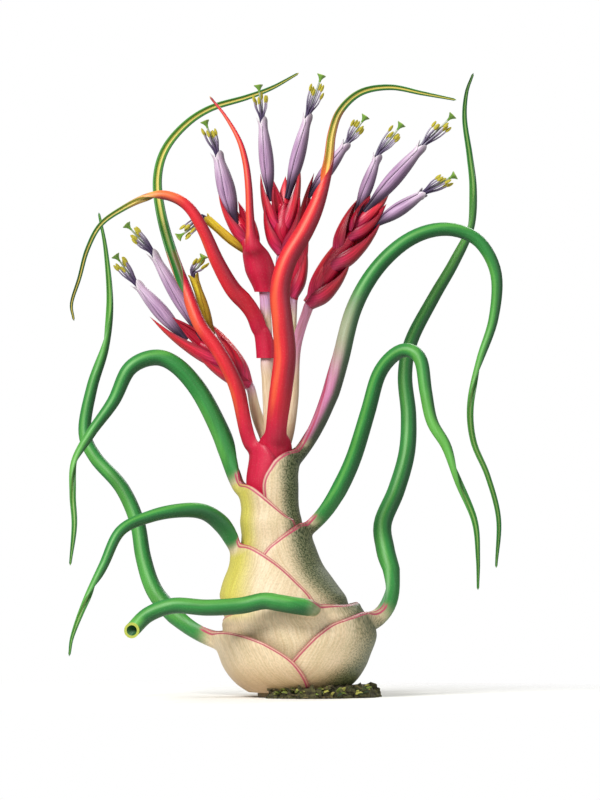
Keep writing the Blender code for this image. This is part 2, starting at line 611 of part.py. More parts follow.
def smooth_tube(name, table, count, collection, sides):
    """A tube along a table of (x, y, z, radius)."""
    route = smooth_route([Vector(row[:3]) for row in table], count)
    shares = [i / (len(table) - 1) for i in range(len(table))]
    radii = [read_curve(list(zip(shares, [row[3] for row in table])), share)
             for _, _, share in route]
    return tube(name, [place for place, _, _ in route], radii, collection, sides)


def turned(name, outline, sides, collection):
    """A turned solid from an outline of (radius, height) that runs up its outer side."""
    mesh = bpy.data.meshes.new(name)
    points = [(radius * MM, 0, height * MM) for radius, height in outline]
    mesh.from_pydata(points, [(i, i + 1) for i in range(len(points) - 1)], [])
    obj = bpy.data.objects.new(name, mesh)
    collection.objects.link(obj)
    screw = obj.modifiers.new("Turn", "SCREW")
    screw.steps = sides
    screw.render_steps = sides
    screw.use_merge_vertices = True
    screw.merge_threshold = 0.00001
    screw.use_normal_calculate = True
    return obj


def point_along(obj, start, direction):
    """Stands a turned solid on a point, with its axis along a direction."""
    obj.rotation_mode = "QUATERNION"
    obj.rotation_quaternion = direction.to_track_quat("Z", "Y")
    obj.location = start * MM


def largest_body(bm):
    """Drops all but the largest of the bodies in a mesh."""
    unseen = set(bm.verts)
    bodies = []
    while unseen:
        body = {unseen.pop()}
        edge = list(body)
        while edge:
            for link in edge.pop().link_edges:
                for v in link.verts:
                    if v in unseen:
                        unseen.discard(v)
                        body.add(v)
                        edge.append(v)
        bodies.append(body)
    bodies.sort(key=len, reverse=True)
    loose = [v for body in bodies[1:] for v in body]
    bmesh.ops.delete(bm, geom=loose, context="VERTS")


def fused(name, first, others, collection, colour, cutters=(), solver="EXACT"):
    """One body from overlapping solids, then cut by others, as a new object."""
    pieces = bpy.data.collections.new(name + "_pieces")
    bpy.context.scene.collection.children.link(pieces)
    for obj in others:
        for holder in list(obj.users_collection):
            holder.objects.unlink(obj)
        pieces.objects.link(obj)
    if others:
        union = first.modifiers.new("Join", "BOOLEAN")
        union.operation = "UNION"
        union.operand_type = "COLLECTION"
        union.collection = pieces
        union.solver = solver
    for cutter in cutters:
        cut = first.modifiers.new("Cut", "BOOLEAN")
        cut.operation = "DIFFERENCE"
        cut.object = cutter
        cut.solver = solver
    mesh = evaluated_mesh(first)
    for obj in [first, *others]:
        bpy.data.objects.remove(obj)
    bpy.data.collections.remove(pieces)
    bm = bmesh.new()
    bm.from_mesh(mesh)
    bmesh.ops.remove_doubles(bm, verts=bm.verts, dist=WELD)
    largest_body(bm)
    bmesh.ops.triangulate(bm, faces=bm.faces)
    return new_object(name, finished(name, bm), collection, colour)


def make_leaves(plant):
    for name, leaf in LEAVES.items():
        colour = "leaf_red" if "red" in name else "leaf_green"
        new_object(name, leaf_mesh(name, leaf, bulb_surface(leaf["layer"])), plant, colour)
    for name, leaf in STALK_LEAVES.items():
        new_object(name, leaf_mesh(name, leaf, stalk_surface(leaf)), plant, "leaf_red")


def make_stem(plant, bench):
    """The root crown with the flower stalk and its side stalks."""
    crown = as_mesh(turned("crown", CROWN_OUTLINE, CROWN_SIDES, bench), bench)
    stalks = [smooth_tube("stalk", STALK, 10, bench, 6)]
    for table in SIDE_STALKS:
        stalks.append(smooth_tube("side_stalk", table, 2 + len(table), bench, 6))
    return fused("stem", crown, stalks, plant, "crown")


def bract_mesh(name, foot, tip, width, facing):
    """A boat-shaped bract, thick along its keel, that bows outwards."""
    foot, tip = Vector(foot), Vector(tip)
    ahead = (tip - foot).normalized()
    right = Vector((ahead.z, 0, -ahead.x)).normalized()
    back = ahead.cross(right) * -1
    turn = math.radians(facing)
    keel = math.cos(turn) * right + math.sin(turn) * back
    side = ahead.cross(keel)
    length = (tip - foot).length
    shape = [(0, 0.5), (0.3, 1.0), (0.62, 0.84), (0.86, 0.36)]
    bm = bmesh.new()
    rings = []
    for share, size in shape:
        bow = 4 * share * (1 - share) * BRACT_BOW * length
        middle = foot.lerp(tip, share) + keel * (bow - 0.2 * width * BRACT_DEPTH)
        ring = []
        for around in (-90, -38, 38, 90, 180):
            angle = math.radians(around)
            reach = math.cos(angle) * width * BRACT_DEPTH if around != 180 else 0.12 * width
            ring.append(middle + keel * reach * size
                        + side * math.sin(angle) * width / 2 * size)
        rings.append([bm.verts.new(p * MM) for p in ring])
    for one, two in zip(rings, rings[1:]):
        for i in range(5):
            j = (i + 1) % 5
            bm.faces.new((one[i], one[j], two[j], two[i]))
    bm.faces.new(rings[0])
    point = bm.verts.new((tip + ahead * 0.3) * MM)
    for i in range(5):
        bm.faces.new((rings[-1][i], rings[-1][(i + 1) % 5], point))
    bmesh.ops.triangulate(bm, faces=bm.faces)
    return finished(name, bm)


def flower_axis(flower):
    _, foot, mouth, _, _ = flower
    foot, mouth = Vector(foot), Vector(mouth)
    ahead = (mouth - foot).normalized()
    return foot - ahead * TUBE_SUNK, mouth, ahead


def make_tube(name, flower, collection, extra=0.0):
    """The tube of a flower with a hole in its mouth, or the solid that clears it."""
    start, mouth, ahead = flower_axis(flower)
    length = (mouth - start).length
    radius = flower[3] / 2
    outline = [(0, -extra)]
    for share, size in TUBE_OUTLINE:
        slimmest = MOUTH_RADIUS if share > 0.4 else 0
        outline.append((max(radius * size, slimmest), length * share))
    if extra:
        wide = radius / math.cos(math.pi / CLEARANCE_SIDES) + extra
        outline = [(0, -extra), (radius * 0.62 + extra, -extra), (wide, length * 0.42),
                   (wide, length), (0, length)]
    else:
        outline += [(MOUTH_RADIUS, length), (MOUTH_HOLE, length),
                    (MOUTH_HOLE, length - MOUTH_DEPTH),
                    (0, length - MOUTH_DEPTH)]
    sides = CLEARANCE_SIDES if extra else TUBE_SIDES
    obj = turned(name, outline, sides, collection)
    point_along(obj, start, ahead)
    return obj


def make_stamens(name, flower, plant, bench, rng):
    """Stamens and style of one flower, on a plug that sits in its mouth."""
    start, mouth, ahead = flower_axis(flower)
    stigma = Vector(flower[4])
    reach = (stigma - mouth).length
    toward = (stigma - mouth).normalized()
    side = toward.orthogonal().normalized()
    outline = [(0, 0), (PLUG_RADIUS, 0), (PLUG_RADIUS, MOUTH_DEPTH), (HEAD_RADIUS, MOUTH_DEPTH),
               (HEAD_RADIUS, MOUTH_DEPTH + HEAD_HEIGHT), (0, MOUTH_DEPTH + HEAD_HEIGHT)]
    plug = turned("plug", outline, STAMENS, bench)
    point_along(plug, mouth - ahead * (MOUTH_DEPTH - GAP), ahead)
    plug = as_mesh(plug, bench)
    top = mouth + ahead * (GAP + HEAD_HEIGHT * 0.4)
    outline = [(0, 0), (STYLE_RADIUS, 0), (STYLE_RADIUS, reach - STIGMA_LENGTH),
               (STIGMA_RADIUS, reach), (0, reach - STIGMA_LENGTH * 0.2)]
    style = turned("style", outline, 4, bench)
    point_along(style, top, (stigma - top).normalized())
    parts = [as_mesh(style, bench)]
    for k in range(STAMENS):
        angle = math.tau * (k + 0.5) / STAMENS
        out = math.cos(angle) * side + math.sin(angle) * toward.cross(side)
        far = mouth + toward * reach * (STAMEN_REACH + rng.uniform(-0.12, 0.1))
        far = far + out * STAMEN_SPREAD * rng.uniform(0.85, 1.2)
        foot = top + (out - ahead * out.dot(ahead)) * (HEAD_RADIUS - 0.45)
        parts.append(make_stamen(foot, far, bench))
    return fused(name, plug, parts, plant, "stamen", solver="MANIFOLD")


def make_stamen(foot, far, bench):
    """A thin filament that widens into its anther."""
    length = (far - foot).length
    outline = [(0, 0), (FILAMENT_RADIUS, 0), (FILAMENT_RADIUS, length - ANTHER_LENGTH / 2),
               (ANTHER_RADIUS, length), (0, length + ANTHER_LENGTH / 2)]
    stamen = turned("stamen", outline, 3, bench)
    point_along(stamen, foot, (far - foot).normalized())
    return as_mesh(stamen, bench)


def as_mesh(obj, bench):
    """The same solid with its place and modifiers worked into its mesh."""
    mesh = evaluated_mesh(obj)
    bm = bmesh.new()
    bm.from_mesh(mesh)
    solid = bpy.data.objects.new(obj.name, finished(obj.name, bm))
    bpy.data.objects.remove(obj)
    bench.objects.link(solid)
    return solid


def make_spikes(plant, bench):
    for name, spike in SPIKES.items():
        table = [(*point, AXIS_RADIUS) for point in spike["axis"]]
        axis = smooth_tube("axis", table, AXIS_STEPS, bench, 4)
        bracts = []
        for foot, tip, width, facing in spike["bracts"]:
            mesh = bract_mesh("bract", foot, tip, width, facing)
            bract = bpy.data.objects.new("bract", mesh)
            bench.objects.link(bract)
            bracts.append(bract)
        cutters = []
        for flower in FLOWERS:
            if flower[0] == name:
                clearance = make_tube("clearance", flower, bench, GAP)
                cutters.append(as_mesh(clearance, bench))
        fused(name, axis, bracts, plant, "bract", cutters)
        for cutter in cutters:
            bpy.data.objects.remove(cutter)


def make_flowers(plant, bench):
    rng = random.Random(5)
    for number, flower in enumerate(FLOWERS, 1):
        petals = make_tube(f"petals_{number:02d}", flower, plant)
        give_colour(petals, "withered" if flower[3] < 3.5 else "petal")
        make_stamens(f"stamens_{number:02d}", flower, plant, bench, rng)


def make_roots(plant, bench):
    """Wiry roots and moss matted against the front and right of the crown."""
    rng = random.Random(ROOT_SEED)
    low, high = MAT_BAND
    bm = bmesh.new()
    rings = []
    steps = 11
    for i in range(steps + 1):
        turn = math.radians(ROOT_ARC[0] + (ROOT_ARC[1] - ROOT_ARC[0]) * i / steps)
        fade = 0.45 + 0.55 * math.sin(math.pi * (i + 0.5) / (steps + 1)) ** 0.6
        tall = MAT_HEIGHT * fade * rng.uniform(0.8, 1.2)
        far = low + (high - low) * fade * rng.uniform(0.9, 1.08)
        out = Vector((math.cos(turn), math.sin(turn), 0))
        section = [(low, 0), (far, 0), (far - 0.8, tall * 0.55), (far - 3.4, tall),
                   (low + 3.4, 1.3)]
        rings.append([bm.verts.new((out * r + Vector((0, 0, z))) * MM) for r, z in section])
    for one, two in zip(rings, rings[1:]):
        for i in range(5):
            j = (i + 1) % 5
            bm.faces.new((one[i], one[j], two[j], two[i]))
    bm.faces.new(rings[0])
    bm.faces.new(rings[-1])
    bmesh.ops.triangulate(bm, faces=bm.faces)
    mat = bpy.data.objects.new("mat", finished("mat", bm))
    bench.objects.link(mat)
    roots = []
    for k in range(ROOT_COUNT):
        turn = ROOT_ARC[0] + (ROOT_ARC[1] - ROOT_ARC[0]) * (k + rng.random()) / ROOT_COUNT
        points = []
        radius = rng.uniform(19, 21)
        height = rng.uniform(1.0, 1.8)
        for step in range(4):
            angle = math.radians(turn)
            points.append(Vector((radius * math.cos(angle), radius * math.sin(angle),
                                  max(height, ROOT_RADIUS + 0.15))))
            turn += rng.uniform(-9, 12)
            radius += rng.uniform(1.0, 3.4)
            height += rng.uniform(-1.6, 0.9)
        roots.append(tube("root", points, [ROOT_RADIUS] * 4, bench, 4))
    fused("root_mat", mat, roots, plant, "root", solver="MANIFOLD")


def main():
    for obj in list(bpy.data.objects):
        bpy.data.objects.remove(obj, do_unlink=True)
    plant = bpy.data.collections.new("bulbosa_air_plant")
    bench = bpy.data.collections.new("cutters")
    for collection in (plant, bench):
        bpy.context.scene.collection.children.link(collection)
    make_leaves(plant)
    make_stem(plant, bench)
    make_spikes(plant, bench)
    make_flowers(plant, bench)
    make_roots(plant, bench)
    for obj in plant.objects:
        obj.data.shade_smooth()


main()
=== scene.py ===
"""Bulbosa air plant in flower: every visible piece, its surfaces, and the studio it stands in.

All tables are in millimetres, in the plant's own frame: +X to the viewer's right, +Y away
from the viewer, +Z up, with the origin at the centre of the flat root crown.
"""
import math
import random
from functools import cache

import bpy
from bpy.props import FloatProperty, IntProperty, PointerProperty, StringProperty
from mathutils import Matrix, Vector, noise


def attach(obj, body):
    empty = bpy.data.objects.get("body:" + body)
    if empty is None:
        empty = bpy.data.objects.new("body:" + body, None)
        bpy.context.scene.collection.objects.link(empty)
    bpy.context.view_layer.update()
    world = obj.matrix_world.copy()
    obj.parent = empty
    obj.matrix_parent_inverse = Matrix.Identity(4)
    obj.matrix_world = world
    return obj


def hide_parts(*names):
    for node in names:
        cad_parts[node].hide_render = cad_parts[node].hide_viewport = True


bl_info = {
    "name": "Bulbosa Air Plant",
    "version": (1, 0, 0),
    "blender": (4, 5, 0),
    "location": "View3D > Sidebar > Plant",
    "description": "Builds a bulbosa air plant with its leaves, bracts, flowers and roots",
    "category": "Add Mesh",
}

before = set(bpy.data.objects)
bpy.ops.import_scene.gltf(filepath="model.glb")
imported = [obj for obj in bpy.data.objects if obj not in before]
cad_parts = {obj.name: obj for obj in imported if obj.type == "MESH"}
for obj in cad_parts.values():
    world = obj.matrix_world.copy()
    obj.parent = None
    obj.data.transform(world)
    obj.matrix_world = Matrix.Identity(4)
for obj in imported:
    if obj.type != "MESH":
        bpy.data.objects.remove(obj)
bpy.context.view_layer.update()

MM = 0.001
MERGE_DISTANCE = 0.000002
SMOOTH_ANGLE = math.radians(50)
CURVE_STEPS = 24
NOISE = "ShaderNodeTexNoise"

# Bulb and neck: height with outer radius, and height with the sideways place of the middle
BULB_OUTLINE = [(0, 12.8), (4, 19.2), (9, 23.4), (14, 25.3), (20, 25.8), (26, 24.2), (33, 20.9),
                (38, 18.2), (43, 15.2), (49, 12.6), (55, 11.0), (60, 10.0), (66, 9.3), (72, 9.0),
                (79, 9.0), (90, 8.5)]
BULB_MIDDLE = [(0, 0), (20, 0), (26, -1.6), (33, -3.8), (38, -5.1), (49, -6.9), (60, -7.8),
               (70, -8.6), (79, -7.4), (90, -7.4)]
# Gap between sheaths, and what the belly adds to it from the first heights to the second
SHEATH_GAP = 0.5
BELLY_GAP = 0.45
BELLY_FROM = (3, 10)
BELLY_TO = (32, 42)
# Height of each sheath's top, below which the sheaths inside widen into its place over some
# millimetres, and the height where the neck ends
SHEATH_TOPS = [22, 28, 33, 50, 57, 69, 400, 400, 400]
SWELL_BACK = 10
NECK_TOP = 86
NECK_FADE = 8
EDGE_THICKNESS = 0.7
# How far a blade stays off the bulb, the millimetres in which that grows by as much again,
# and how far along the blade that is minded
LIFT = 0.2
LIFT_STEP = 6.0
NEAR_BULB = 24
# Points across a leaf, rings between two marks of a sheath, rings of the collar where the
# blade starts, and how often the rows about it are smoothed
LEAF_POINTS = 26
SHEATH_FINE = 5
COLLAR = 9
SMOOTHINGS = 12
# Degrees from keel to margin of a blade, and of one that has closed to a tube
BLADE_OPENING = 118
TUBE_OPENING = 179.9
HOLLOW = 0.68
# Shares of a blade between which its channel turns to the back, and then into view
TURNED_AWAY = (0.02, 0.2)
SHOWS = (0.6, 0.88)
# How far the middle of a blade's round lies from between its margins to its keel
KEEL_SHARE = 0.34
# The side that is painted in shade on leaves, bracts and petals, and the share of dots on skin that
# has few
SHADED = Vector((0.72, 0.15, -0.68))
FEW_DOTS = 0.05
# The way that the cut end faces, and the rings that its slant takes
CUT_FACING = Vector((-0.45, -0.8, -0.4)).normalized()
CUT_RINGS = 9

# Each leaf: place among the sheaths, compass direction, foot of its sheath, the rings of its
# sheath (half width, height of the margins, height of the middle line), its blade as a route
# and diameters, and its colours from the start of the blade to its tip
LEAVES = {
    "leaf_1_lower_left": dict(
        layer=1, azimuth=175, foot=(112, 1.6),
        sheath=[(101, 7.6, 7.4), (92, 12, 10.5), (79, 16, 12.2), (63, 19.6, 13.6),
            (42, 21.4, 14.6)],
        route=[(-25.3, 2.2, 19), (-30.4, 3.5, 20.8), (-36.5, 5.5, 24), (-43, 8.5, 30),
            (-46.8, 11, 36), (-49.5, 14, 45), (-51.5, 17, 56), (-56.6, 20, 67), (-65, 23.5, 76.5),
            (-68.5, 26, 85), (-66.2, 28, 99), (-62.2, 30, 112), (-60.5, 32, 126), (-61.8, 34, 143),
            (-64, 35, 155)],
        widths=[(0, 7.6), (0.08, 6.4), (0.2, 5.3), (0.45, 4.5), (0.65, 3.6), (0.8, 2.4),
            (0.93, 1.4), (1, 0.8)],
        tints=[(0, "green"), (0.6, "green"), (0.8, "fresh"), (1, "green")]),
    "leaf_2_lower_right": dict(
        layer=2, azimuth=5, foot=(118, 2.7),
        sheath=[(106, 9.5, 8.8), (99, 12.6, 11.6), (90, 16.6, 14.8), (80, 20.6, 17.4),
            (65, 24, 19.1), (45, 26, 20.4), (26, 27.6, 21.4)],
        route=[(24.1, 2.2, 25.2), (27.6, 3.6, 26.2), (29.8, 5, 31), (30.2, 7, 38.7),
            (28.4, 10, 47), (27.6, 13, 55.4), (32, 17, 66), (35.4, 20, 78), (36, 23, 90),
            (34.9, 26, 103), (37, 29, 114.2), (44, 32, 127.7), (51, 34, 139.8), (56, 36, 151),
            (57.1, 38, 163), (56, 40, 174.4), (54.4, 41, 186), (55, 41, 194.6), (57, 41, 200.4)],
        widths=[(0, 7.6), (0.08, 6.4), (0.35, 5.2), (0.55, 4.2), (0.7, 3.3), (0.85, 2.1),
            (0.95, 1.4), (1, 0.8)],
        tints=[(0, "green"), (0.5, "green"), (0.75, "fresh"), (0.9, "green"), (1, "deep")]),
    "leaf_3_front_cut": dict(
        layer=3, azimuth=-74, lean=3.2, cut=True, foot=(124, 3.8),
        sheath=[(128, 18.6, 18), (126, 23, 21), (112, 25.8, 23.2), (94, 27.4, 23.9),
            (76, 28.4, 24.4), (57, 29, 24.8), (38, 29.6, 25.2)],
        route=[(4.4, -22.6, 29), (5.2, -25.6, 29), (3.9, -28.6, 29.2), (-1, -30, 29.9),
            (-5.6, -29.8, 30.7), (-10.5, -29.2, 31.3), (-18, -29, 29.8), (-28.5, -29.2, 29.2),
            (-39, -28.4, 29.8), (-47, -27.6, 27), (-52.3, -29.4, 22)],
        widths=[(0, 5.4), (0.12, 5.5), (0.6, 5.2), (1, 4.9)], fade=0.14, shows=(2, 3),
        tints=[(0, "green"), (0.9, "green"), (1, "fresh")]),
    "leaf_4_upper_left": dict(
        layer=4, azimuth=188, foot=(118, 4.9),
        sheath=[(106, 32.4, 32), (99, 37, 35.6), (88, 41.3, 38.7), (70, 45.4, 41.5),
            (48, 48.6, 43.6)],
        route=[(-18.4, -3, 48.6), (-23.6, -6.5, 55), (-29.5, -9.5, 59.2), (-37, -13, 59.8),
            (-46.4, -16, 58), (-56, -20, 53.4), (-61.4, -23.5, 42.5), (-67, -27, 31),
            (-71, -30, 20.5), (-72, -31, 14.6)],
        widths=[(0, 7.0), (0.15, 5.4), (0.4, 3.9), (0.65, 3.1), (0.85, 1.9), (1, 0.8)],
        tints=[(0, "green"), (0.6, "green"), (0.85, "fresh"), (1, "green")]),
    "leaf_5_right_neck": dict(
        layer=5, azimuth=-8, foot=(118, 6),
        sheath=[(112, 42.4, 42), (98, 47.2, 45.6), (82, 50, 47.4), (58, 53.4, 49.6),
            (34, 55.8, 51.4)],
        route=[(3.6, -1.6, 55), (8.2, -3.2, 58.8), (13, -5.4, 65.6), (18, -8, 76.2),
            (22.6, -11, 91), (26, -13, 102.8), (30.6, -15, 109), (35.4, -17, 110.9),
            (39.4, -19, 107.6), (41, -21, 97.5), (43, -23, 88), (47.6, -25, 80), (51.6, -27, 68.5),
            (56.4, -28, 56.5), (57.4, -29, 45), (57.4, -29, 35.5)],
        widths=[(0, 6.2), (0.1, 5.4), (0.3, 4.8), (0.5, 4.3), (0.62, 3.8), (0.78, 2.6), (0.9, 1.7),
            (1, 0.8)],
        tints=[(0, "green"), (0.5, "green"), (0.65, "fresh"), (1, "green")]),
    "leaf_6_left_neck": dict(
        layer=6, azimuth=174, foot=(138, 7.2),
        sheath=[(142, 55.6, 55), (124, 58, 57), (102, 61.4, 59.4), (80, 65, 61.8), (58, 68, 63.8)],
        route=[(-17.4, 1.2, 67.4), (-20.6, 2, 74.6), (-24.8, 3, 85.5), (-31.4, 4, 98),
            (-38.8, 4, 106.2), (-45.8, 4, 108.6), (-53.6, 3, 105), (-58.8, 2, 94.5),
            (-66, 0, 84.3), (-71, -3, 75), (-71.6, -6, 65), (-71, -9, 55), (-72.2, -12, 43)],
        widths=[(0, 6.9), (0.12, 6.2), (0.35, 5.4), (0.5, 4.6), (0.65, 3.3), (0.8, 2.2),
            (0.92, 1.7), (1, 0.8)],
        tints=[(0, "green"), (0.6, "green"), (0.75, "fresh"), (1, "green")]),
    "leaf_7_right_arch": dict(
        layer=7, azimuth=6, foot=(118, 8.4),
        sheath=[(113, 68, 67), (99, 73.8, 71), (84, 77.4, 73), (60, 78.8, 74.2)],
        route=[(0.2, 0.5, 78.6), (4.8, 0.5, 85), (10, 0.5, 95.5), (13.8, 1, 107.5), (18, 2, 123.5),
            (24.4, 3, 135.5), (33, 4, 144.4), (42, 4.5, 149), (51, 5, 149.4), (59, 5, 145.2),
            (63.9, 4.5, 135), (63, 4, 121), (58.8, 2.5, 108), (55.6, 0, 94), (56.4, -3, 82),
            (61, -6, 70.6), (64.4, -8, 57), (63.6, -10, 42.2)],
        widths=[(0, 6.6), (0.15, 5.6), (0.35, 4.7), (0.52, 3.9), (0.68, 2.6), (0.85, 1.8),
            (0.95, 1.5), (1, 0.8)],
        under="deep", shows=(0.6, 0.78),
        tints=[(0, "mauve"), (0.1, "mauve"), (0.2, "mist"), (0.28, "green"), (0.5, "green"),
            (0.75, "fresh"), (1, "green")]),
    "leaf_8_tall_left": dict(
        layer=8, azimuth=184, foot=(118, 9.6),
        sheath=[(112, 68.6, 68), (104, 74, 73), (86, 77.8, 75.4), (64, 81, 77.6)],
        route=[(-14.2, -0.6, 81.4), (-16.3, -2, 88), (-19.6, -3, 100), (-25.2, -3, 110.8),
            (-31, -2, 119), (-35.2, 1, 129.4), (-40, 5, 142), (-43.6, 9, 155), (-44.8, 12, 166),
            (-42.4, 14, 175.4), (-36, 15.5, 183.4), (-27.8, 16, 188.8), (-16.3, 16, 192.3),
            (-8, 15.5, 195.4), (0, 15, 199.8)],
        widths=[(0, 6.8), (0.08, 5.2), (0.25, 4.4), (0.45, 3.6), (0.6, 3.0), (0.75, 2.4),
            (0.9, 1.7), (1, 0.8)], shows=(0.28, 0.42),
        tints=[(0, "crimson"), (0.12, "scarlet"), (0.3, "scarlet"), (0.4, "crimson"),
            (0.47, "green"), (0.8, "fresh"), (1, "green")]),
    "leaf_9_red_centre": dict(
        layer=9, azimuth=-84, foot=(112, 10.8),
        sheath=[(110, 68, 68), (104, 75, 74.2), (88, 79.6, 77.6), (62, 82.6, 79.8)],
        route=[(-6.7, -5.9, 84.2), (-6.3, -8, 89), (-4.8, -10, 100), (-3.8, -11, 110),
            (-4.6, -12, 120), (-5.4, -12, 130), (-3, -12, 139.5), (2.8, -11.5, 149.5),
            (7, -10.5, 159), (9.9, -9, 170), (11.2, -7.5, 180), (14, -6.5, 187.5),
            (20.5, -5.5, 193.3), (30, -5, 194.9), (40, -5, 193), (50.2, -5, 191)],
        widths=[(0, 6.4), (0.1, 7.3), (0.3, 6.4), (0.48, 5.6), (0.56, 4.2), (0.66, 2.9),
            (0.8, 2.2), (0.93, 1.4), (1, 0.8)], shows=(0.5, 0.64),
        tints=[(0, "crimson"), (0.1, "scarlet"), (0.6, "scarlet"), (0.68, "orange"), (0.76, "sap"),
            (0.84, "green"), (1, "green")]),
}

# Red leaves on the flower stalk: a short sheath round the stalk, then a blade
STALK_LEAVES = {
    "bract_leaf_lower": dict(
        azimuth=195, start_radius=2.4, full_radius=2.9, rise=(108, 118), middle=(-9.6, -9.8),
            heights=(108.4, 119),
        sheath=[(160, 108.4, 108.4), (150, 111, 110.6), (120, 115, 113), (85, 118.4, 115.4)],
        route=[(-11.9, -0.7, 118.2), (-12.9, -1.6, 122), (-15.6, -3, 125.6), (-20.4, -4.4, 130.4),
            (-25.3, -6, 139), (-30, -7, 149.5), (-35, -7, 157), (-41.5, -6.5, 160.3),
            (-48, -6, 159.7), (-55.5, -5.5, 156.2), (-62.7, -5, 151), (-67, -4.5, 143),
            (-69.5, -4, 134), (-72, -3.5, 126), (-71.4, -3.5, 121)],
        widths=[(0, 6.2), (0.06, 6.0), (0.2, 4.8), (0.35, 3.8), (0.5, 3.0), (0.62, 1.9),
            (0.8, 1.5), (0.95, 1.1), (1, 0.8)], shows=(0.46, 0.6),
        tints=[(0, "crimson"), (0.1, "scarlet"), (0.42, "scarlet"), (0.5, "orange"),
            (0.56, "straw"), (0.66, "sap"), (0.76, "green"), (1, "deep")]),
    "bract_leaf_upper": dict(
        azimuth=-108, start_radius=2.4, full_radius=4.2, rise=(129, 137), middle=(-10.2, -12.6),
            heights=(129.6, 142.6),
        sheath=[(112, 129.6, 129.6), (108, 132, 131.6), (100, 135.5, 134.6), (88, 139, 137.6),
            (70, 142.5, 140.4)],
        route=[(-13.9, -4.6, 143.6), (-14.6, -5.2, 147), (-15, -5, 154), (-15.4, -4.4, 163),
            (-16.4, -3, 171), (-18.6, -1, 178.4), (-23, 1.5, 186), (-27.5, 3, 191.7)],
        widths=[(0, 6.0), (0.07, 3.6), (0.2, 2.7), (0.4, 2.3), (0.6, 1.9), (0.8, 1.2), (1, 0.7)],
            shows=(2, 3),
        tints=[(0, "crimson"), (0.3, "scarlet"), (0.8, "scarlet"), (0.93, "crimson"), (1, "wine")]),
}

# Flower stalk and side stalks: (x, y, z, radius), with the colours from foot to top
STALK = dict(route=[(0, 0, 6, 3.6), (-1.2, 0, 25, 3.0), (-5, 0, 40, 2.6), (-7.6, 0, 55, 2.3),
                    (-8.6, 0, 70, 2.1), (-8.6, 0, 85, 2.0), (-9.4, 0, 105, 2.0),
                    (-10.2, 0, 128, 1.9), (-10.4, 0.2, 131.5, 1.6)],
             tints=[(0, "cream"), (0.76, "cream"), (0.87, "lilac"), (0.9, "cream"),
                    (0.96, "lilac"), (1, "rose")])
SIDE_STALKS = [
    dict(route=[(-8.9, 0.4, 75, 1.4), (-10.4, 3.2, 83, 1.5), (-13.2, 6.4, 91.5, 1.9),
                (-14.7, 7.6, 98.3, 1.6), (-16, 7.7, 100.4, 1.3)],
         tints=[(0, "cream"), (0.75, "cream"), (1, "lilac")]),
    dict(route=[(-9.9, 0.4, 125, 1.1), (-6.6, 3, 133, 1.2), (-5.3, 2.4, 141, 1.3),
                (-5.2, 2.3, 143.4, 1.1)],
         tints=[(0, "cream"), (1, "lilac")]),
    dict(route=[(-8.3, 0.4, 74, 1.4), (-3.4, 3.4, 81, 1.6), (-1.2, 5.2, 95, 1.7),
                (-0.2, 5.0, 112, 1.6), (3.5, 4.0, 124.2, 1.6), (4.6, 3.9, 126.6, 1.4)],
         tints=[(0, "cream"), (0.5, "cream"), (0.75, "rose"), (1, "rose")]),
    dict(route=[(-0.9, 5.4, 100, 1.1), (-1.6, 7.4, 112, 1.3), (-1.0, 8.0, 126.6, 1.3),
                (-0.9, 8.1, 129, 1.1)],
         tints=[(0, "cream"), (0.6, "pith"), (1, "lilac")]),
]
CROWN_OUTLINE = [(0, 0), (12.6, 0), (12.6, 1), (11.8, 4.2), (10.0, 6.8), (6.2, 10.4), (4, 16),
                 (0, 18)]

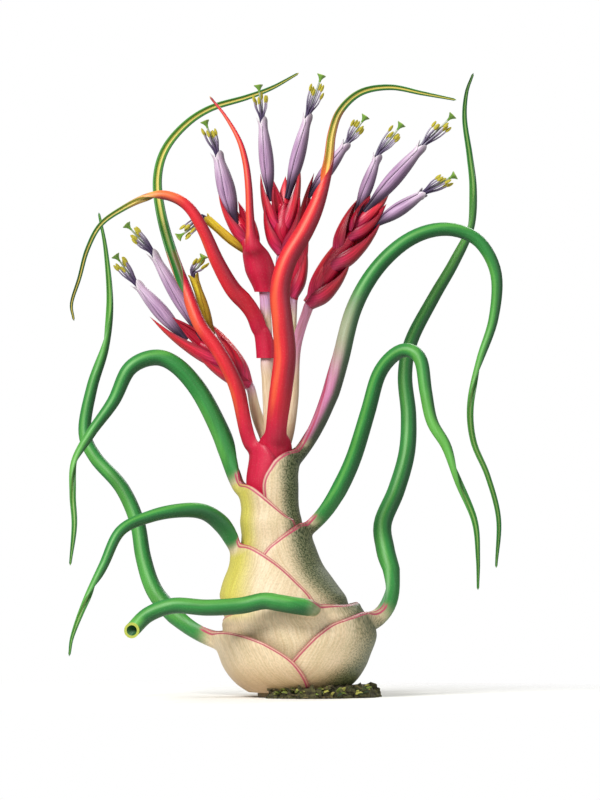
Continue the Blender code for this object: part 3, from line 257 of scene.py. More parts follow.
# Spikes: the axis of each, then its bracts as foot, tip, width and the side the keel faces
SPIKES = {
    "spike_1_lower_left": dict(
        axis=[(-14.9, 7.7, 98.9), (-19, 8, 104.5), (-25, 8.2, 109.5), (-31, 8.4, 113)],
        bracts=[((-15.2, 7.7, 99.4), (-33, 7.2, 110.2), 5.6, 190),
                ((-22, 8, 105), (-47.4, 8.8, 121.3), 5.2, 180),
                ((-22.5, 7.6, 107.4), (-40.3, 7.4, 121.8), 4.8, 290),
                ((-15.2, 8, 99.6), (-28.2, 8.4, 120.6), 6.0, 10),
                ((-18, 9, 103.5), (-32, 10.6, 119), 5.0, 70),
                ((-17, 7, 102.5), (-24.5, 5.4, 116.2), 4.6, 330)]),
    "spike_2_top": dict(
        axis=[(-10.4, 0.6, 128.9), (-12.3, 1.2, 137), (-15.2, 2, 144), (-18.4, 2.6, 151)],
        bracts=[((-15.6, 2.6, 144.4), (-25.6, 2.4, 161.6), 5.2, 200),
                ((-15, 2.4, 144.6), (-18.4, 2.2, 158.6), 4.6, 330),
                ((-14, 2.8, 142.6), (-16, 5.6, 157), 4.8, 110),
                ((-16, 2.6, 145), (-21.5, 6, 158), 4.6, 120)]),
    "spike_3_middle": dict(
        axis=[(-5.2, 2.4, 141.5), (-4.8, 2.2, 150), (-4, 2, 158)],
        bracts=[((-5.4, 2.2, 141.8), (-10.7, 1.4, 158.2), 5.6, 200),
                ((-6, 2.2, 148), (-12, 2.8, 167.2), 4.4, 180),
                ((-4.8, 1.6, 150), (-7.5, 0.4, 165), 4.0, 250),
                ((-4.4, 2.8, 151), (-3.6, 4.6, 166.6), 4.2, 80),
                ((-4.3, 1.9, 146.5), (1.4, 2.6, 170), 4.6, 10),
                ((-4.5, 1.4, 143), (1.4, 0.8, 160), 5.0, 330)]),
    "spike_4_behind": dict(
        axis=[(-0.95, 8.05, 127.2), (0.4, 8.3, 140), (3, 8.4, 154)],
        bracts=[((-0.9, 8, 127.8), (3.2, 7.6, 146), 5.2, 350),
                ((-0.6, 8.4, 133), (-2, 9.4, 153), 5.0, 170),
                ((0.8, 8.2, 142), (5.1, 8.6, 167.8), 4.6, 200),
                ((1.4, 8.6, 146), (8.8, 9.4, 162.6), 4.6, 20)]),
    "spike_5_right": dict(
        axis=[(3.7, 3.9, 124.8), (8, 3.8, 133), (13.5, 3.6, 142), (19.5, 3.5, 150)],
        bracts=[((3.9, 3.8, 125.1), (17.8, 3.2, 139.4), 7.2, 345),
                ((4.2, 4, 126), (14.6, 4.2, 148), 6.0, 190),
                ((10.8, 3.4, 136.6), (27.6, 3, 152), 7.0, 345),
                ((12.4, 3.8, 141.5), (19.3, 4.2, 159.8), 5.4, 200),
                ((17, 3.4, 146.4), (29, 3.0, 157.4), 5.6, 340),
                ((18.6, 4.4, 149.6), (29.9, 5, 161.4), 4.4, 60),
                ((17.6, 3.4, 149), (23.4, 2.8, 160.6), 4.2, 235)]),
}
BRACT_SHAPE = [(0, 0.6), (0.25, 1.0), (0.55, 0.86), (0.8, 0.5), (0.93, 0.2), (1, 0.03)]
BRACT_DEPTH = 0.5
BRACT_BOW = 0.02
BRACT_SPREAD = 1.1
AXIS_RADII = (1.3, 3.0, 2.7, 1.0)

# Flowers: spike, foot of the tube, mouth, greatest width, tip of the stigma
FLOWERS = [
    ("spike_1_lower_left", (-38.2, 8.2, 117.0), (-51.6, 9.4, 132.4), 4.8, (-58.2, 9.6, 141.4)),
    ("spike_1_lower_left", (-32.4, 9.4, 118.2), (-46.4, 12, 142.2), 4.6, (-54.7, 13, 151.4)),
    ("spike_1_lower_left", (-27.8, 6.8, 118.4), (-33.2, 5.4, 135), 3.0, (-29.8, 4.4, 141.1)),
    ("spike_2_top", (-20.6, 2.6, 154.4), (-25.6, 3, 174), 5.6, (-29.4, 3.4, 184.3)),
    ("spike_2_top", (-17.8, 1.6, 143.6), (-29.2, 0.4, 153.2), 2.8, (-38, -0.6, 147)),
    ("spike_3_middle", (-8.9, 2.6, 162.6), (-11.2, 3.2, 185), 4.5, (-12.2, 3.6, 195.8)),
    ("spike_3_middle", (-2.2, 2.4, 163.4), (3.5, 3, 186.2), 4.5, (8, 3.2, 199)),
    ("spike_4_behind", (5.8, 9, 163.4), (16, 9.6, 177.4), 4.0, (22.1, 9.8, 186)),
    ("spike_5_right", (20.2, 4, 157.6), (25.9, 4.6, 173.4), 4.0, (33.6, 5, 183.4)),
    ("spike_5_right", (24.2, 3.6, 158.2), (40.3, 3.6, 176.6), 4.8, (49.9, 3.6, 186.2)),
    ("spike_5_right", (27.6, 3.2, 152.8), (40.6, 2.2, 161.3), 4.4, (50.6, 1.4, 167)),
]
TUBE_SUNK = 4.0
TUBE_OUTLINE = [(0, 0.34), (0.14, 0.5), (0.34, 0.88), (0.52, 1.0), (0.72, 0.86), (0.9, 0.6),
                (1, 0.56)]
MOUTH_RADIUS = 1.25
PETAL_ROLL = 0.24
PETAL_WALL = 0.2
STAMENS = 6
STAMEN_REACH = 0.62
STAMEN_SPREAD = 1.9
WITHERED_BELOW = 3.5
STIGMA_OUTLINE = [(0.0, 0.34), (0.8, 0.42), (1.6, 0.8), (2.2, 1.22), (2.5, 1.3), (2.35, 0.95),
                  (1.7, 0.4), (1.5, 0.05)]

# Rings along each piece, and points or sides across it
CROWN_RINGS, CROWN_SIDES = 28, 48
BRACT_RINGS, BRACT_POINTS = 20, 18
PETAL_RINGS, PETAL_POINTS = 26, 12
PETAL_HALF = math.radians(78)
ANTHER_RINGS, ANTHER_LENGTH = 8, 2.7

# Roots: the arc of the mat in degrees, its near and far radius, its height and its spur
ROOT_ARC = (-121, 52)
MAT_BAND = (13.4, 24.5)
MAT_HEIGHT = 3.4
MAT_SPUR = 4.0
MAT_RINGS = 90
ROOT_BENDS = 6

# Strength of the pink line in shares of a band of millimetres along a sheath's margin
MARGIN_BAND = 4.0
MARGIN_LINE = [(0.0, 0.95), (0.05, 0.8), (0.08, 0.3), (0.18, 0.4), (0.23, 1.0), (0.32, 0.9),
               (0.4, 0.0)]

# Stage, in metres: name, place, size and share of the key light's power of each light
LIGHTS = [("key_light", (-0.45, -0.7, 0.65), 0.35, 1.0),
          ("fill_light", (0.8, -0.6, 0.25), 0.7, 0.22),
          ("back_light", (0.3, 0.7, 0.6), 0.4, 0.3)]
PLANT_MIDDLE = (0.0, 0.0, 0.1)
SENSOR = 36
VIEW_WIDTH = 0.256

# Plant colours by name, as sRGB
TINTS = {
    "cream": "E2CEAC", "pith": "DDE0AE", "sap": "A9B548", "green": "2C863A", "fresh": "5FAE48",
    "deep": "0F4C26", "mist": "9DA98A", "mauve": "C87CA6", "rose": "D895B5", "lilac": "CBA0C6",
    "crimson": "C8143E", "scarlet": "DC2230", "orange": "F0703A", "straw": "EED468",
    "wine": "7C0E2C", "lemon": "D2CC34", "painted_shade_green": "2C501F", "channel": "86B456", "tan": "B89468",
    "hollow": "2A6436", "rim": "BCC852", "plum": "46365A", "filament": "9A8CA4", "bark": "3A3220",
    "fibre": "6A5E38", "moss": "6E8230", "moss_dark": "2A3A1C", "moss_dry": "A2A24A",
}


@cache
def linear(code):
    """Turns an sRGB hex value, or a name in TINTS, into the linear colour that shaders use."""
    code = TINTS.get(code, code)
    parts = [int(code[i:i + 2], 16) / 255 for i in (0, 2, 4)]
    return tuple(c / 12.92 if c <= 0.04045 else ((c + 0.055) / 1.055) ** 2.4 for c in parts)


def blend(first, second, share):
    """Mixes two colours, each a linear one or a code for one."""
    pair = [linear(c) if isinstance(c, str) else c for c in (first, second)]
    return tuple(p + (q - p) * share for p, q in zip(*pair))


def smoothstep(low, high, value):
    t = min(max((value - low) / (high - low), 0.0), 1.0)
    return t * t * (3 - 2 * t)


def tint_along(stops, share):
    """Reads a colour along a list of (share, colour name)."""
    for (low, first), (high, second) in zip(stops, stops[1:]):
        if share <= high:
            return blend(first, second, smoothstep(low, high, share))
    return linear(stops[-1][1])


def read_curve(table, place):
    """Reads a smooth curve through a table of (place, value) pairs."""
    if place <= table[0][0]:
        return table[0][1]
    if place >= table[-1][0]:
        return table[-1][1]
    last = len(table) - 1
    i = max(k for k in range(last) if table[k][0] <= place)
    slopes = []
    for k in (i, i + 1):
        before, after = table[max(k - 1, 0)], table[min(k + 1, last)]
        slopes.append((after[1] - before[1]) / (after[0] - before[0]))
    width = table[i + 1][0] - table[i][0]
    t = (place - table[i][0]) / width
    rise = table[i + 1][1] - table[i][1]
    bend = slopes[0] * width - rise
    lift = rise - slopes[1] * width
    return table[i][1] + rise * t + t * (1 - t) * ((1 - t) * bend + t * lift)


def smooth_route(points, count):
    """Evenly spaced (place, direction, share, millimetres) along a curve through points."""
    fine = []
    padded = [2 * points[0] - points[1]] + points + [2 * points[-1] - points[-2]]
    for i in range(1, len(padded) - 2):
        a, b, c, d = padded[i - 1:i + 3]
        for k in range(CURVE_STEPS):
            t = k / CURVE_STEPS
            fine.append(0.5 * (2 * b + (c - a) * t + (2 * a - 5 * b + 4 * c - d) * t ** 2
                               + (3 * b - a - 3 * c + d) * t ** 3))
    fine.append(points[-1].copy())
    lengths = [0.0]
    for one, two in zip(fine, fine[1:]):
        lengths.append(lengths[-1] + (two - one).length)
    picked = []
    at = 0
    for k in range(count):
        goal = lengths[-1] * k / (count - 1)
        while at < len(fine) - 2 and lengths[at + 1] < goal:
            at += 1
        part = (goal - lengths[at]) / (lengths[at + 1] - lengths[at])
        picked.append((fine[at].lerp(fine[at + 1], part),
                       (fine[at + 1] - fine[at]).normalized(), k / (count - 1), goal))
    return picked


def turns(count):
    """Angles of the points of a loop, with the first one again at its end."""
    return [math.tau * (i % count) / count for i in range(count + 1)]


def spans(across):
    """Shares of the half width from one margin (-1) to the other (1)."""
    return [2 * i / across - 1 for i in range(across + 1)]


def swung(one, two, turn):
    """The direction at an angle from one direction to another."""
    return math.cos(turn) * one + math.sin(turn) * two


def pick_nothing():
    if bpy.context.mode != "OBJECT":
        bpy.ops.object.mode_set(mode="OBJECT")
    bpy.ops.object.select_all(action="DESELECT")


def lofted(name, rows, material):
    """A closed skin over rows of (place, grain, tint), each row a loop whose ends meet.

    It starts as a grid and is wrapped over the rows, because a loft between unlike sections
    has no operator. The grain attribute holds millimetres across, along and from the margin.
    A fourth number in a tint says how thickly it is stippled.
    """
    pick_nothing()
    across, along = len(rows[0]) - 1, len(rows) - 1
    bpy.ops.mesh.primitive_grid_add(x_subdivisions=across, y_subdivisions=along, size=1)
    piece = bpy.context.object
    mesh = piece.data
    piece.name = mesh.name = name
    mesh.attributes.new("grain", "FLOAT_VECTOR", "POINT")
    mesh.attributes.new("tint", "FLOAT_COLOR", "POINT")
    places, readings, colours = [], [], []
    for vertex in mesh.vertices:
        column = round((vertex.co.x + 0.5) * across)
        row = round((vertex.co.y + 0.5) * along)
        place, reading, colour = rows[row][column]
        places.extend(place * MM)
        readings.extend(reading)
        colours.extend((*colour, 1)[:4])
    mesh.vertices.foreach_set("co", places)
    mesh.attributes["grain"].data.foreach_set("vector", readings)
    mesh.attributes["tint"].data.foreach_set("color", colours)
    mesh.update()
    bpy.ops.object.mode_set(mode="EDIT")
    bpy.ops.mesh.select_all(action="SELECT")
    bpy.ops.mesh.remove_doubles(threshold=MERGE_DISTANCE)
    bpy.ops.mesh.select_all(action="DESELECT")
    bpy.ops.mesh.select_non_manifold(extend=False)
    if mesh.total_edge_sel:
        bpy.ops.mesh.fill()
    bpy.ops.mesh.select_all(action="SELECT")
    bpy.ops.mesh.normals_make_consistent(inside=False)
    bpy.ops.object.mode_set(mode="OBJECT")
    bpy.ops.object.transform_apply(location=True, rotation=True, scale=True)
    bpy.ops.object.shade_smooth_by_angle(angle=SMOOTH_ANGLE)
    mesh.materials.clear()
    mesh.materials.append(material)
    return piece


def joined(name, parts):
    """Joins pieces into the first one."""
    pick_nothing()
    for part in parts:
        part.select_set(True)
    bpy.context.view_layer.objects.active = parts[0]
    bpy.ops.object.join()
    piece = bpy.context.object
    piece.name = piece.data.name = name
    return piece


def settled_in(piece, nodes):
    """Puts a finished piece in the plant, in place of its plain solids."""
    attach(piece, "root")
    if nodes:
        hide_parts(*nodes)


def drawn_to(point, row):
    """A row that closes a skin at a point."""
    return [(point, grain, tint) for _, grain, tint in row]


def rod_rows(table, tints, sides, count, bulges=()):
    """Rows for a round stalk or thread along (x, y, z, radius)."""
    route = smooth_route([Vector(row[:3]) for row in table], count)
    radii = [(i / (len(table) - 1), row[3]) for i, row in enumerate(table)]
    side = route[0][1].orthogonal().normalized()
    rows = []
    for place, ahead, share, run in route:
        side = (side - ahead * side.dot(ahead)).normalized()
        up = ahead.cross(side)
        radius = read_curve(radii, share)
        for middle, height, width in bulges:
            radius += height * math.exp(-((share - middle) / width) ** 2)
        colour = tint_along(tints, share)
        rows.append([(place + radius * swung(side, up, turn),
                      (math.tau * radius * i / sides, run, radius), colour)
                     for i, turn in enumerate(turns(sides))])
    tip = route[-1][0] + route[-1][1] * radii[-1][1] * 0.4
    return [drawn_to(route[0][0], rows[0])] + rows + [drawn_to(tip, rows[-1])]


# Leaves -------------------------------------------------------------------------------------

def layer_gap(z):
    belly = smoothstep(*BELLY_FROM, z) * (1 - smoothstep(*BELLY_TO, z))
    return SHEATH_GAP + BELLY_GAP * belly


def layer_radius(layer, z, thickness):
    """Outer radius that a sheath may fill, after the sheaths outside it."""
    radius = read_curve(BULB_OUTLINE, z)
    below = 0
    for top in SHEATH_TOPS[:layer - 1]:
        band = min(SWELL_BACK, max(top - below, 4))
        radius -= (thickness + layer_gap(z)) * (1 - smoothstep(top - band, top, z))
        below = top
    return radius


def bulb_surface(layer, thickness):
    """A function that gives the middle and the inner radius of a sheath at a height."""
    def surface(z):
        inner = layer_radius(layer + 1, z, thickness) + layer_gap(z)
        inner *= 1 - smoothstep(NECK_TOP, NECK_TOP + NECK_FADE, z)
        return read_curve(BULB_MIDDLE, z), inner
    return surface


def stalk_surface(leaf):
    """The same for a leaf whose sheath wraps the flower stalk."""
    low, high = leaf["heights"]

    def surface(z):
        share = min(max((z - low) / (high - low), 0), 1)
        middle = leaf["middle"][0] + (leaf["middle"][1] - leaf["middle"][0]) * share
        swell = smoothstep(*leaf["rise"], z)
        inner = leaf["start_radius"] + (leaf["full_radius"] - leaf["start_radius"]) * swell
        return middle, inner * (1 - smoothstep(high, high + NECK_FADE, z))
    return surface


def placed(surface, readings):
    """Turns (degrees, height, radius) about the middle of the bulb into points."""
    points = []
    for turn, z, radius in readings:
        angle = math.radians(turn)
        points.append(Vector((surface(z)[0] + radius * math.cos(angle),
                              radius * math.sin(angle), z)))
    return points


def settle(points, surface, azimuth, extra):
    """Reads points that way, pushed outwards until they are clear of the sheaths inside."""
    settled = []
    for point in points:
        middle, clear = surface(point.z)
        turn = math.degrees(math.atan2(point.y, point.x - middle))
        turn += 360 * round((azimuth - turn) / 360)
        radius = math.hypot(point.x - middle, point.y)
        settled.append((turn, point.z, max(radius, clear + extra)))
    return settled


def sheath_rings(leaf, surface, thickness):
    """Outer and inner rows of a sheath, from its foot to where the blade leaves it."""
    marks = list(leaf["sheath"])
    if "foot" in leaf:
        half, foot = leaf["foot"]
        top_half, _, top = marks[0]
        below = []
        for k in range(8):
            z = foot + (top - 3 - foot) * k / 8
            below.append((half + (top_half - half) * (z - foot) / (top - foot), z, z))
        marks = below + marks
    curves = [[(i, mark[part]) for i, mark in enumerate(marks)] for part in range(3)]
    rings = []
    steps = (len(marks) - 1) * SHEATH_FINE
    for k in range(steps + 1):
        half, margin, low = (read_curve(curve, k / SHEATH_FINE) for curve in curves)
        slant = math.sin(math.pi * (k / steps) ** 1.5)
        outer, inner = [], []
        for s in spans(LEAF_POINTS):
            z = low + (margin - low) * abs(s) ** 1.6 + leaf.get("lean", 0) * s * slant
            radius = surface(z)[1]
            turn = leaf["azimuth"] + half * s
            inner.append((turn, z, radius))
            outer.append((turn, z, radius + thickness * (1 - 0.72 * abs(s) ** 26)))
        rings.append((outer, inner))
    return rings


def blade_ring(place, side, up, radius, closed=0.0):
    """Points round the back of a rolled blade, then points down into its channel.

    Where it is closed the margins meet, and the channel is the hollow of a tube.
    """
    outer, inner = [], []
    edge = math.radians(BLADE_OPENING + (TUBE_OPENING - BLADE_OPENING) * closed)
    wall = 0.8 if radius > 0.8 else 0.7
    for s in spans(LEAF_POINTS):
        back = math.sin(s * edge) * side - math.cos(s * edge) * up
        depth = -math.cos(edge) - 0.74 * (1 - abs(s) ** 2.4)
        channel = math.sin(edge) * wall * s * side + depth * up
        outer.append(place + radius * back)
        inner.append(place + radius * channel.lerp(HOLLOW * back, closed))
    return outer, inner


def leaf_rows(leaf, surface, thickness, blade_count):
    """All rows of one leaf: sheath, the collar where it becomes a blade, and the blade."""
    azimuth = leaf["azimuth"]
    route = smooth_route([Vector(p) for p in leaf["route"]], blade_count)
    place, ahead, _, _ = route[0]
    angle = math.radians(azimuth)
    side = Vector((-math.sin(angle), math.cos(angle), 0))
    side = (side - ahead * side.dot(ahead)).normalized()
    sheath = sheath_rings(leaf, surface, thickness)
    rings = [tuple(placed(surface, part) for part in ring) for ring in sheath]
    stages = [k / len(rings) - 1 for k in range(len(rings))]
    start = blade_ring(place, side, ahead.cross(side), leaf["widths"][0][1] / 2)
    first = (settle(start[0], surface, azimuth, EDGE_THICKNESS),
             settle(start[1], surface, azimuth, 0.05))
    for k in range(1, COLLAR):
        share = k / COLLAR
        rings.append(tuple(
            placed(surface, [(a[0] + (b[0] - a[0]) * share, a[1] + (b[1] - a[1]) * share,
                              a[2] + (b[2] - a[2]) * share ** ease) for a, b in zip(one, two)])
            for one, two, ease in zip(sheath[-1], first, (1.15, 1.5))))
        stages.append(-0.001 * (COLLAR - k))
    backward = 0.0
    for place, ahead, share, run in route:
        side = (side - ahead * side.dot(ahead)).normalized()
        away = ahead.cross(Vector((0, -1, 0)))
        if away.length > 0.3:
            wanted = math.atan2(ahead.dot(side.cross(away)), side.dot(away))
            backward = wanted + math.tau * round((backward - wanted) / math.tau)
        twist = (backward * smoothstep(*TURNED_AWAY, share)
                 + math.pi * smoothstep(*leaf.get("shows", SHOWS), share))
        turned = swung(side, ahead.cross(side), twist).normalized()
        closed = smoothstep(0.1, 0.35, share) if "cut" in leaf else 0.0
        outer, inner = blade_ring(place, turned, ahead.cross(turned),
                                  read_curve(leaf["widths"], share) / 2, closed)
        if run < NEAR_BULB:
            lift = LIFT * (1 + run / LIFT_STEP)
            begun = smoothstep(0, 4, run)
            extra = thickness * begun + EDGE_THICKNESS * (1 - begun)
            outer = placed(surface, settle(outer, surface, azimuth, extra + lift))
            inner = placed(surface, settle(inner, surface, azimuth, lift))
        rings.append((outer, inner))
        stages.append(share)
    for _ in range(SMOOTHINGS):
        held = [[list(row) for row in ring] for ring in rings]
        for k in range(len(sheath) - 8, len(sheath) + COLLAR + 10):
            for part in (0, 1):
                rings[k][part][:] = [
                    (a + 2 * b + c) / 4
                    for a, b, c in zip(*(held[j][part] for j in (k - 1, k, k + 1)))]
    return rings, stages


def is_red(leaf):
    return leaf.get("layer", 9) >= 8


def blade_tint(leaf, share, s, inside, lean):
    """Colour of a blade: paler down its channel, painted shade on the flank facing down and right,
    painted highlight up and left.
    """
    if inside and "cut" in leaf:
        return linear("hollow")
    under = "under" in leaf
    colour = tint_along(leaf["tints"], share)
    red = 0.0 if under else smoothstep(0.02, 0.12, colour[0] - colour[1])
    dark = blend("deep", "wine", red)
    if inside:
        if is_red(leaf):
            colour = tint_along(leaf["tints"], min(share + 0.1, 1))
        stripe = (1 - smoothstep(0.25, 0.6, abs(s))) * smoothstep(0.4, 0.6, share)
        # Painted shade down the side of the channel that faces the shaded side
        colour = blend(colour, dark, 0.6 * smoothstep(-0.1, 0.5, lean))
        return blend(colour, "straw" if is_red(leaf) else "channel", 0.8 * stripe)
    # Painted highlight: lighter green, or orange on red blades, along the flank that faces away
    # from the shade
    glow = smoothstep(0.25, 0.45, -lean) * (1 - smoothstep(0.55, 0.8, -lean))
    glow *= smoothstep(0.02, 0.1, share)
    if not under or share > 0.25:
        colour = blend(colour, blend("fresh", "orange", red), (0.65 - 0.1 * red) * glow)
    # Painted shade: the flank facing the shaded side darkens to deep green or wine, less near the
    # foot unless the leaf is marked under
    away = 1.0 if under else 0.3 + 0.7 * smoothstep(0.02, 0.16, share)
    colour = blend(colour, dark, 0.88 * away * smoothstep(-0.3, 0.3, lean))
    return blend(colour, dark, 0.4 * smoothstep(0.86, 1.0, abs(s)))


def painted_sheath_shade(lean, height):
    """How much dark green painted shade the shaded side of a sheath takes: less low down, where the
    bulb is palest.
    """
    start = 0.2 + 0.35 * (1 - smoothstep(24, 42, height)) - 0.3 * (1 - smoothstep(4, 14, height))
    return smoothstep(start, start + 0.5, lean)


def sheath_tint(lean, height):
    """Colour of a sheath: cream, yellow on the left of the neck, dark green painted shade on the
    right.
    """
    skin = blend("cream", "tan", 0.75 * (1 - smoothstep(2, 15, height)))
    yellow = smoothstep(0.4, 0.85, -lean) * smoothstep(23, 30, height)
    # Dark green painted shade on the right of the sheath
    return blend(blend(skin, "lemon", 0.8 * yellow), "painted_shade_green", 0.8 * painted_sheath_shade(lean, height))


def stipple(leaf, stage, lean, height):
    """How thickly a leaf is stippled: thinly all over, thickest in the painted shade of its sheath,
    least on the blade.
    """
    if is_red(leaf):
        return FEW_DOTS
    amount = 0.15 + 0.85 * painted_sheath_shade(lean, height)
    return amount + (0.06 - amount) * smoothstep(-0.006, 0.05, stage)


def leaf_tint(leaf, stage, s, inside, lean, height):
    """Colour of a leaf at a stage, below 0 on the sheath, and a share of its half width.

    The lean is how far the skin there faces the side painted in shade (1) or away from it (-1).
    """
    blade = blade_tint(leaf, max(stage, 0), s, inside, lean)
    if "heights" in leaf:
        return blade
    if is_red(leaf):
        return blend("cream", blade, smoothstep(-0.6, -0.4, stage))
    skin = sheath_tint(0.0 if inside else lean, height)
    begun = smoothstep(-0.006, leaf.get("fade", 0.045), stage)
    if "under" in leaf:
        begun = max(smoothstep(0.0, 0.03, stage),
                    smoothstep(-0.1, 0.0, stage) * (1 - abs(s)) ** 1.3)
    return blend(skin, blade, begun)


def leaf_loft(name, leaf, surface, sizes, material):
    rings, stages = leaf_rows(leaf, surface, sizes.sheath_thickness, sizes.blade_rings)
    keel = LEAF_POINTS // 2
    rows = []
    run = 0.0
    before = rings[0][0][keel]
    for (outer, inner), stage in zip(rings, stages):
        core = read_curve(BULB_MIDDLE, outer[keel].z)
        centre = outer[0].lerp(outer[-1], 0.5).lerp(outer[keel], KEEL_SHARE)
        run += (outer[keel] - before).length
        before = outer[keel]
        reach = [0.0]
        for one, two in zip(outer, outer[1:]):
            reach.append(reach[-1] + (two - one).length)
        half = reach[-1] / 2
        on_blade = 1.0 if "heights" in leaf else smoothstep(-0.02, 0.03, stage)
        front, back = [], []
        for point, within, s, at in zip(outer, inner, spans(LEAF_POINTS), reach):
            bulb = (point.x - core) / max(math.hypot(point.x - core, point.y), 1)
            facing = (point - centre).normalized().dot(SHADED)
            lean = bulb + (facing - bulb) * on_blade
            front.append((point, (at - half, run, half - abs(at - half)),
                          (*leaf_tint(leaf, stage, s, False, lean, point.z),
                           stipple(leaf, stage, lean, point.z))))
            back.append((within, (at - half, run, 0.0 if abs(s) == 1 else 9.0),
                         (*leaf_tint(leaf, stage, s, True, facing, within.z), FEW_DOTS)))
        rows.append(front + back[::-1] + front[:1])
    if "cut" in leaf:
        return lofted(name, cut_rows(rows), material)
    ahead = (rings[-1][0][0] - rings[-2][0][0]).normalized()
    tip = rings[-1][0][keel].lerp(rings[-1][1][keel], 0.5) + ahead * 0.8
    return lofted(name, rows + [drawn_to(tip, rows[-1])], material)


def cut_rows(rows):
    """Slants the open end of a cut blade towards the viewer and gives it a pale rim."""
    middles = [sum((place for place, _, _ in row), Vector()) / len(row)
               for row in rows[-CUT_RINGS:]]
    ahead = (middles[-1] - middles[-2]).normalized()
    along = CUT_FACING / ahead.dot(CUT_FACING)
    for k, middle in enumerate(middles, 1):
        rows[k - CUT_RINGS - 1] = [
            (place - ahead * (place - middle).dot(along) * (k / CUT_RINGS), grain, tint)
            for place, grain, tint in rows[k - CUT_RINGS - 1]]
    rim = (*linear("rim"), FEW_DOTS)
    return rows + [[(place + ahead * 0.15, (0, 0, 9), rim) for place, _, _ in rows[-1]]]


class PLANT_OT_leaves(bpy.types.Operator):
    """Adds the nine leaves, each with its sheath round the bulb and its rolled blade"""
    bl_idname = "plant.add_leaves"
    bl_label = "Leaves"

    def execute(self, context):
        sizes = context.scene.plant_sizes
        skin = leaf_skin(context.scene.plant_colours)
        for name, leaf in LEAVES.items():
            surface = bulb_surface(leaf["layer"], sizes.sheath_thickness)
            piece = leaf_loft(name + "_skin", leaf, surface, sizes, skin)
            settled_in(piece, [name])
        return {"FINISHED"}


class PLANT_OT_stalk_leaves(bpy.types.Operator):
    """Adds the two red leaves that clasp the flower stalk"""
    bl_idname = "plant.add_stalk_leaves"
    bl_label = "Stalk leaves"

    def execute(self, context):
        skin = leaf_skin(context.scene.plant_colours)
        for name, leaf in STALK_LEAVES.items():
            piece = leaf_loft(name + "_skin", leaf, stalk_surface(leaf),
                              context.scene.plant_sizes, skin)
            settled_in(piece, [name])
        return {"FINISHED"}


# Stem, spikes and flowers -------------------------------------------------------------------

def crown_rows():
    """The woody root crown, turned from its outline with a knobbly skin."""
    lengths = [0.0]
    for one, two in zip(CROWN_OUTLINE, CROWN_OUTLINE[1:]):
        lengths.append(lengths[-1] + math.dist(one, two))
    rows = []
    for k in range(CROWN_RINGS + 1):
        goal = lengths[-1] * k / CROWN_RINGS
        i = min(max(j for j, at in enumerate(lengths) if at <= goal), len(lengths) - 2)
        part = (goal - lengths[i]) / (lengths[i + 1] - lengths[i])
        radius, z = (a + (b - a) * part for a, b in zip(CROWN_OUTLINE[i], CROWN_OUTLINE[i + 1]))
        row = []
        for turn in turns(CROWN_SIDES):
            out = Vector((math.cos(turn), math.sin(turn), 0))
            knob = 0.35 * noise.noise(Vector((out.x * 5, out.y * 5, z * 0.6)))
            rough = knob if 0 < z < 10 else 0.0
            row.append((out * max(radius + rough, 0) + Vector((0, 0, z)),
                        (turn * radius, goal, 9.0), linear("9A8258")))
        rows.append(row)
    return rows


class PLANT_OT_stem(bpy.types.Operator):
    """Adds the root crown, the flower stalk and its side stalks"""
    bl_idname = "plant.add_stem"
    bl_label = "Stem"

    def execute(self, context):
        # Flower stalk and crown: smooth pale rind above, corky scars below
        skin = tinted_skin("stalk_rind", 0.55, (NOISE, 1.5, 3.0, (1, 0.08, 0)), (0.38, 0.7, 0.6),
                           "C9B48E", (0.4, 0.0004))
        parts = [lofted("crown", crown_rows(), skin),
                 lofted("stalk", rod_rows(STALK["route"], STALK["tints"], 20, 90,
                                          [(0.8, 0.25, 0.02), (0.995, 0.3, 0.02)]), skin)]
        for number, stalk in enumerate(SIDE_STALKS, 1):
            rows = rod_rows(stalk["route"], stalk["tints"], 16, 30, [(0.99, 0.25, 0.06)])
            parts.append(lofted(f"side_stalk_{number}", rows, skin))
        settled_in(joined("stem_skin", parts), ["stem"])
        return {"FINISHED"}


def bract_rows(foot, tip, width, facing, rng):
    """A keeled, boat-shaped bract that clasps the spike and bows out to its point."""
    foot, tip = Vector(foot), Vector(tip)
    length = (tip - foot).length
    ahead = (tip - foot).normalized()
    right = Vector((ahead.z, 0, -ahead.x)).normalized()
    keel = swung(right, ahead.cross(right) * -1, math.radians(facing))
    side = ahead.cross(keel)
    edge = "7A0C2A"
    inside = blend("E22040", edge, 0.4)
    warmth = rng.uniform(0.15, 0.9)
    rows = []
    for k in range(BRACT_RINGS + 1):
        share = k / BRACT_RINGS
        size = read_curve(BRACT_SHAPE, share)
        bow = 4 * share * (1 - share) * BRACT_BOW * length
        middle = foot.lerp(tip, share) + keel * (bow - 0.2 * width * BRACT_DEPTH)
        wrap = math.radians(135 - 50 * smoothstep(0.1, 0.9, share))
        wide = width / 2 * size * BRACT_SPREAD
        span = width * size * 0.9
        thin = 1 - min(0.9, 0.55 / max(width * size * 0.5, 0.6))
        front, back = [], []
        for s in spans(BRACT_POINTS):
            reach = math.cos(s * wrap) * width * BRACT_DEPTH * size
            across = side * math.sin(s * wrap) * wide
            ridge = 1 + 0.1 * math.exp(-(s / 0.12) ** 2)
            tint = blend("E03C74", "E22040", smoothstep(0.0, 0.45, share))
            tint = blend(tint, "EA5A2C", warmth * smoothstep(0.3, 0.8, share) * (1 - abs(s)))
            # Painted shade: the side facing the shaded side darkens to the dark red of the margins
            dark = 0.75 * smoothstep(0.05, 0.8, swung(keel, side, s * wrap).dot(SHADED))
            tint = blend(tint, edge, max(dark, 0.75 * smoothstep(0.66, 1.0, abs(s))))
            grain = (s * span, share * length, (1 - abs(s)) * span)
            front.append((middle + keel * (reach * ridge) + across, grain, tint))
            back.append((middle + (keel * reach + across) * thin, grain, inside))
        rows.append(front + back[::-1] + front[:1])
    return rows + [[(tip + ahead * 0.3, grain, linear(edge)) for _, grain, _ in rows[-1]]]


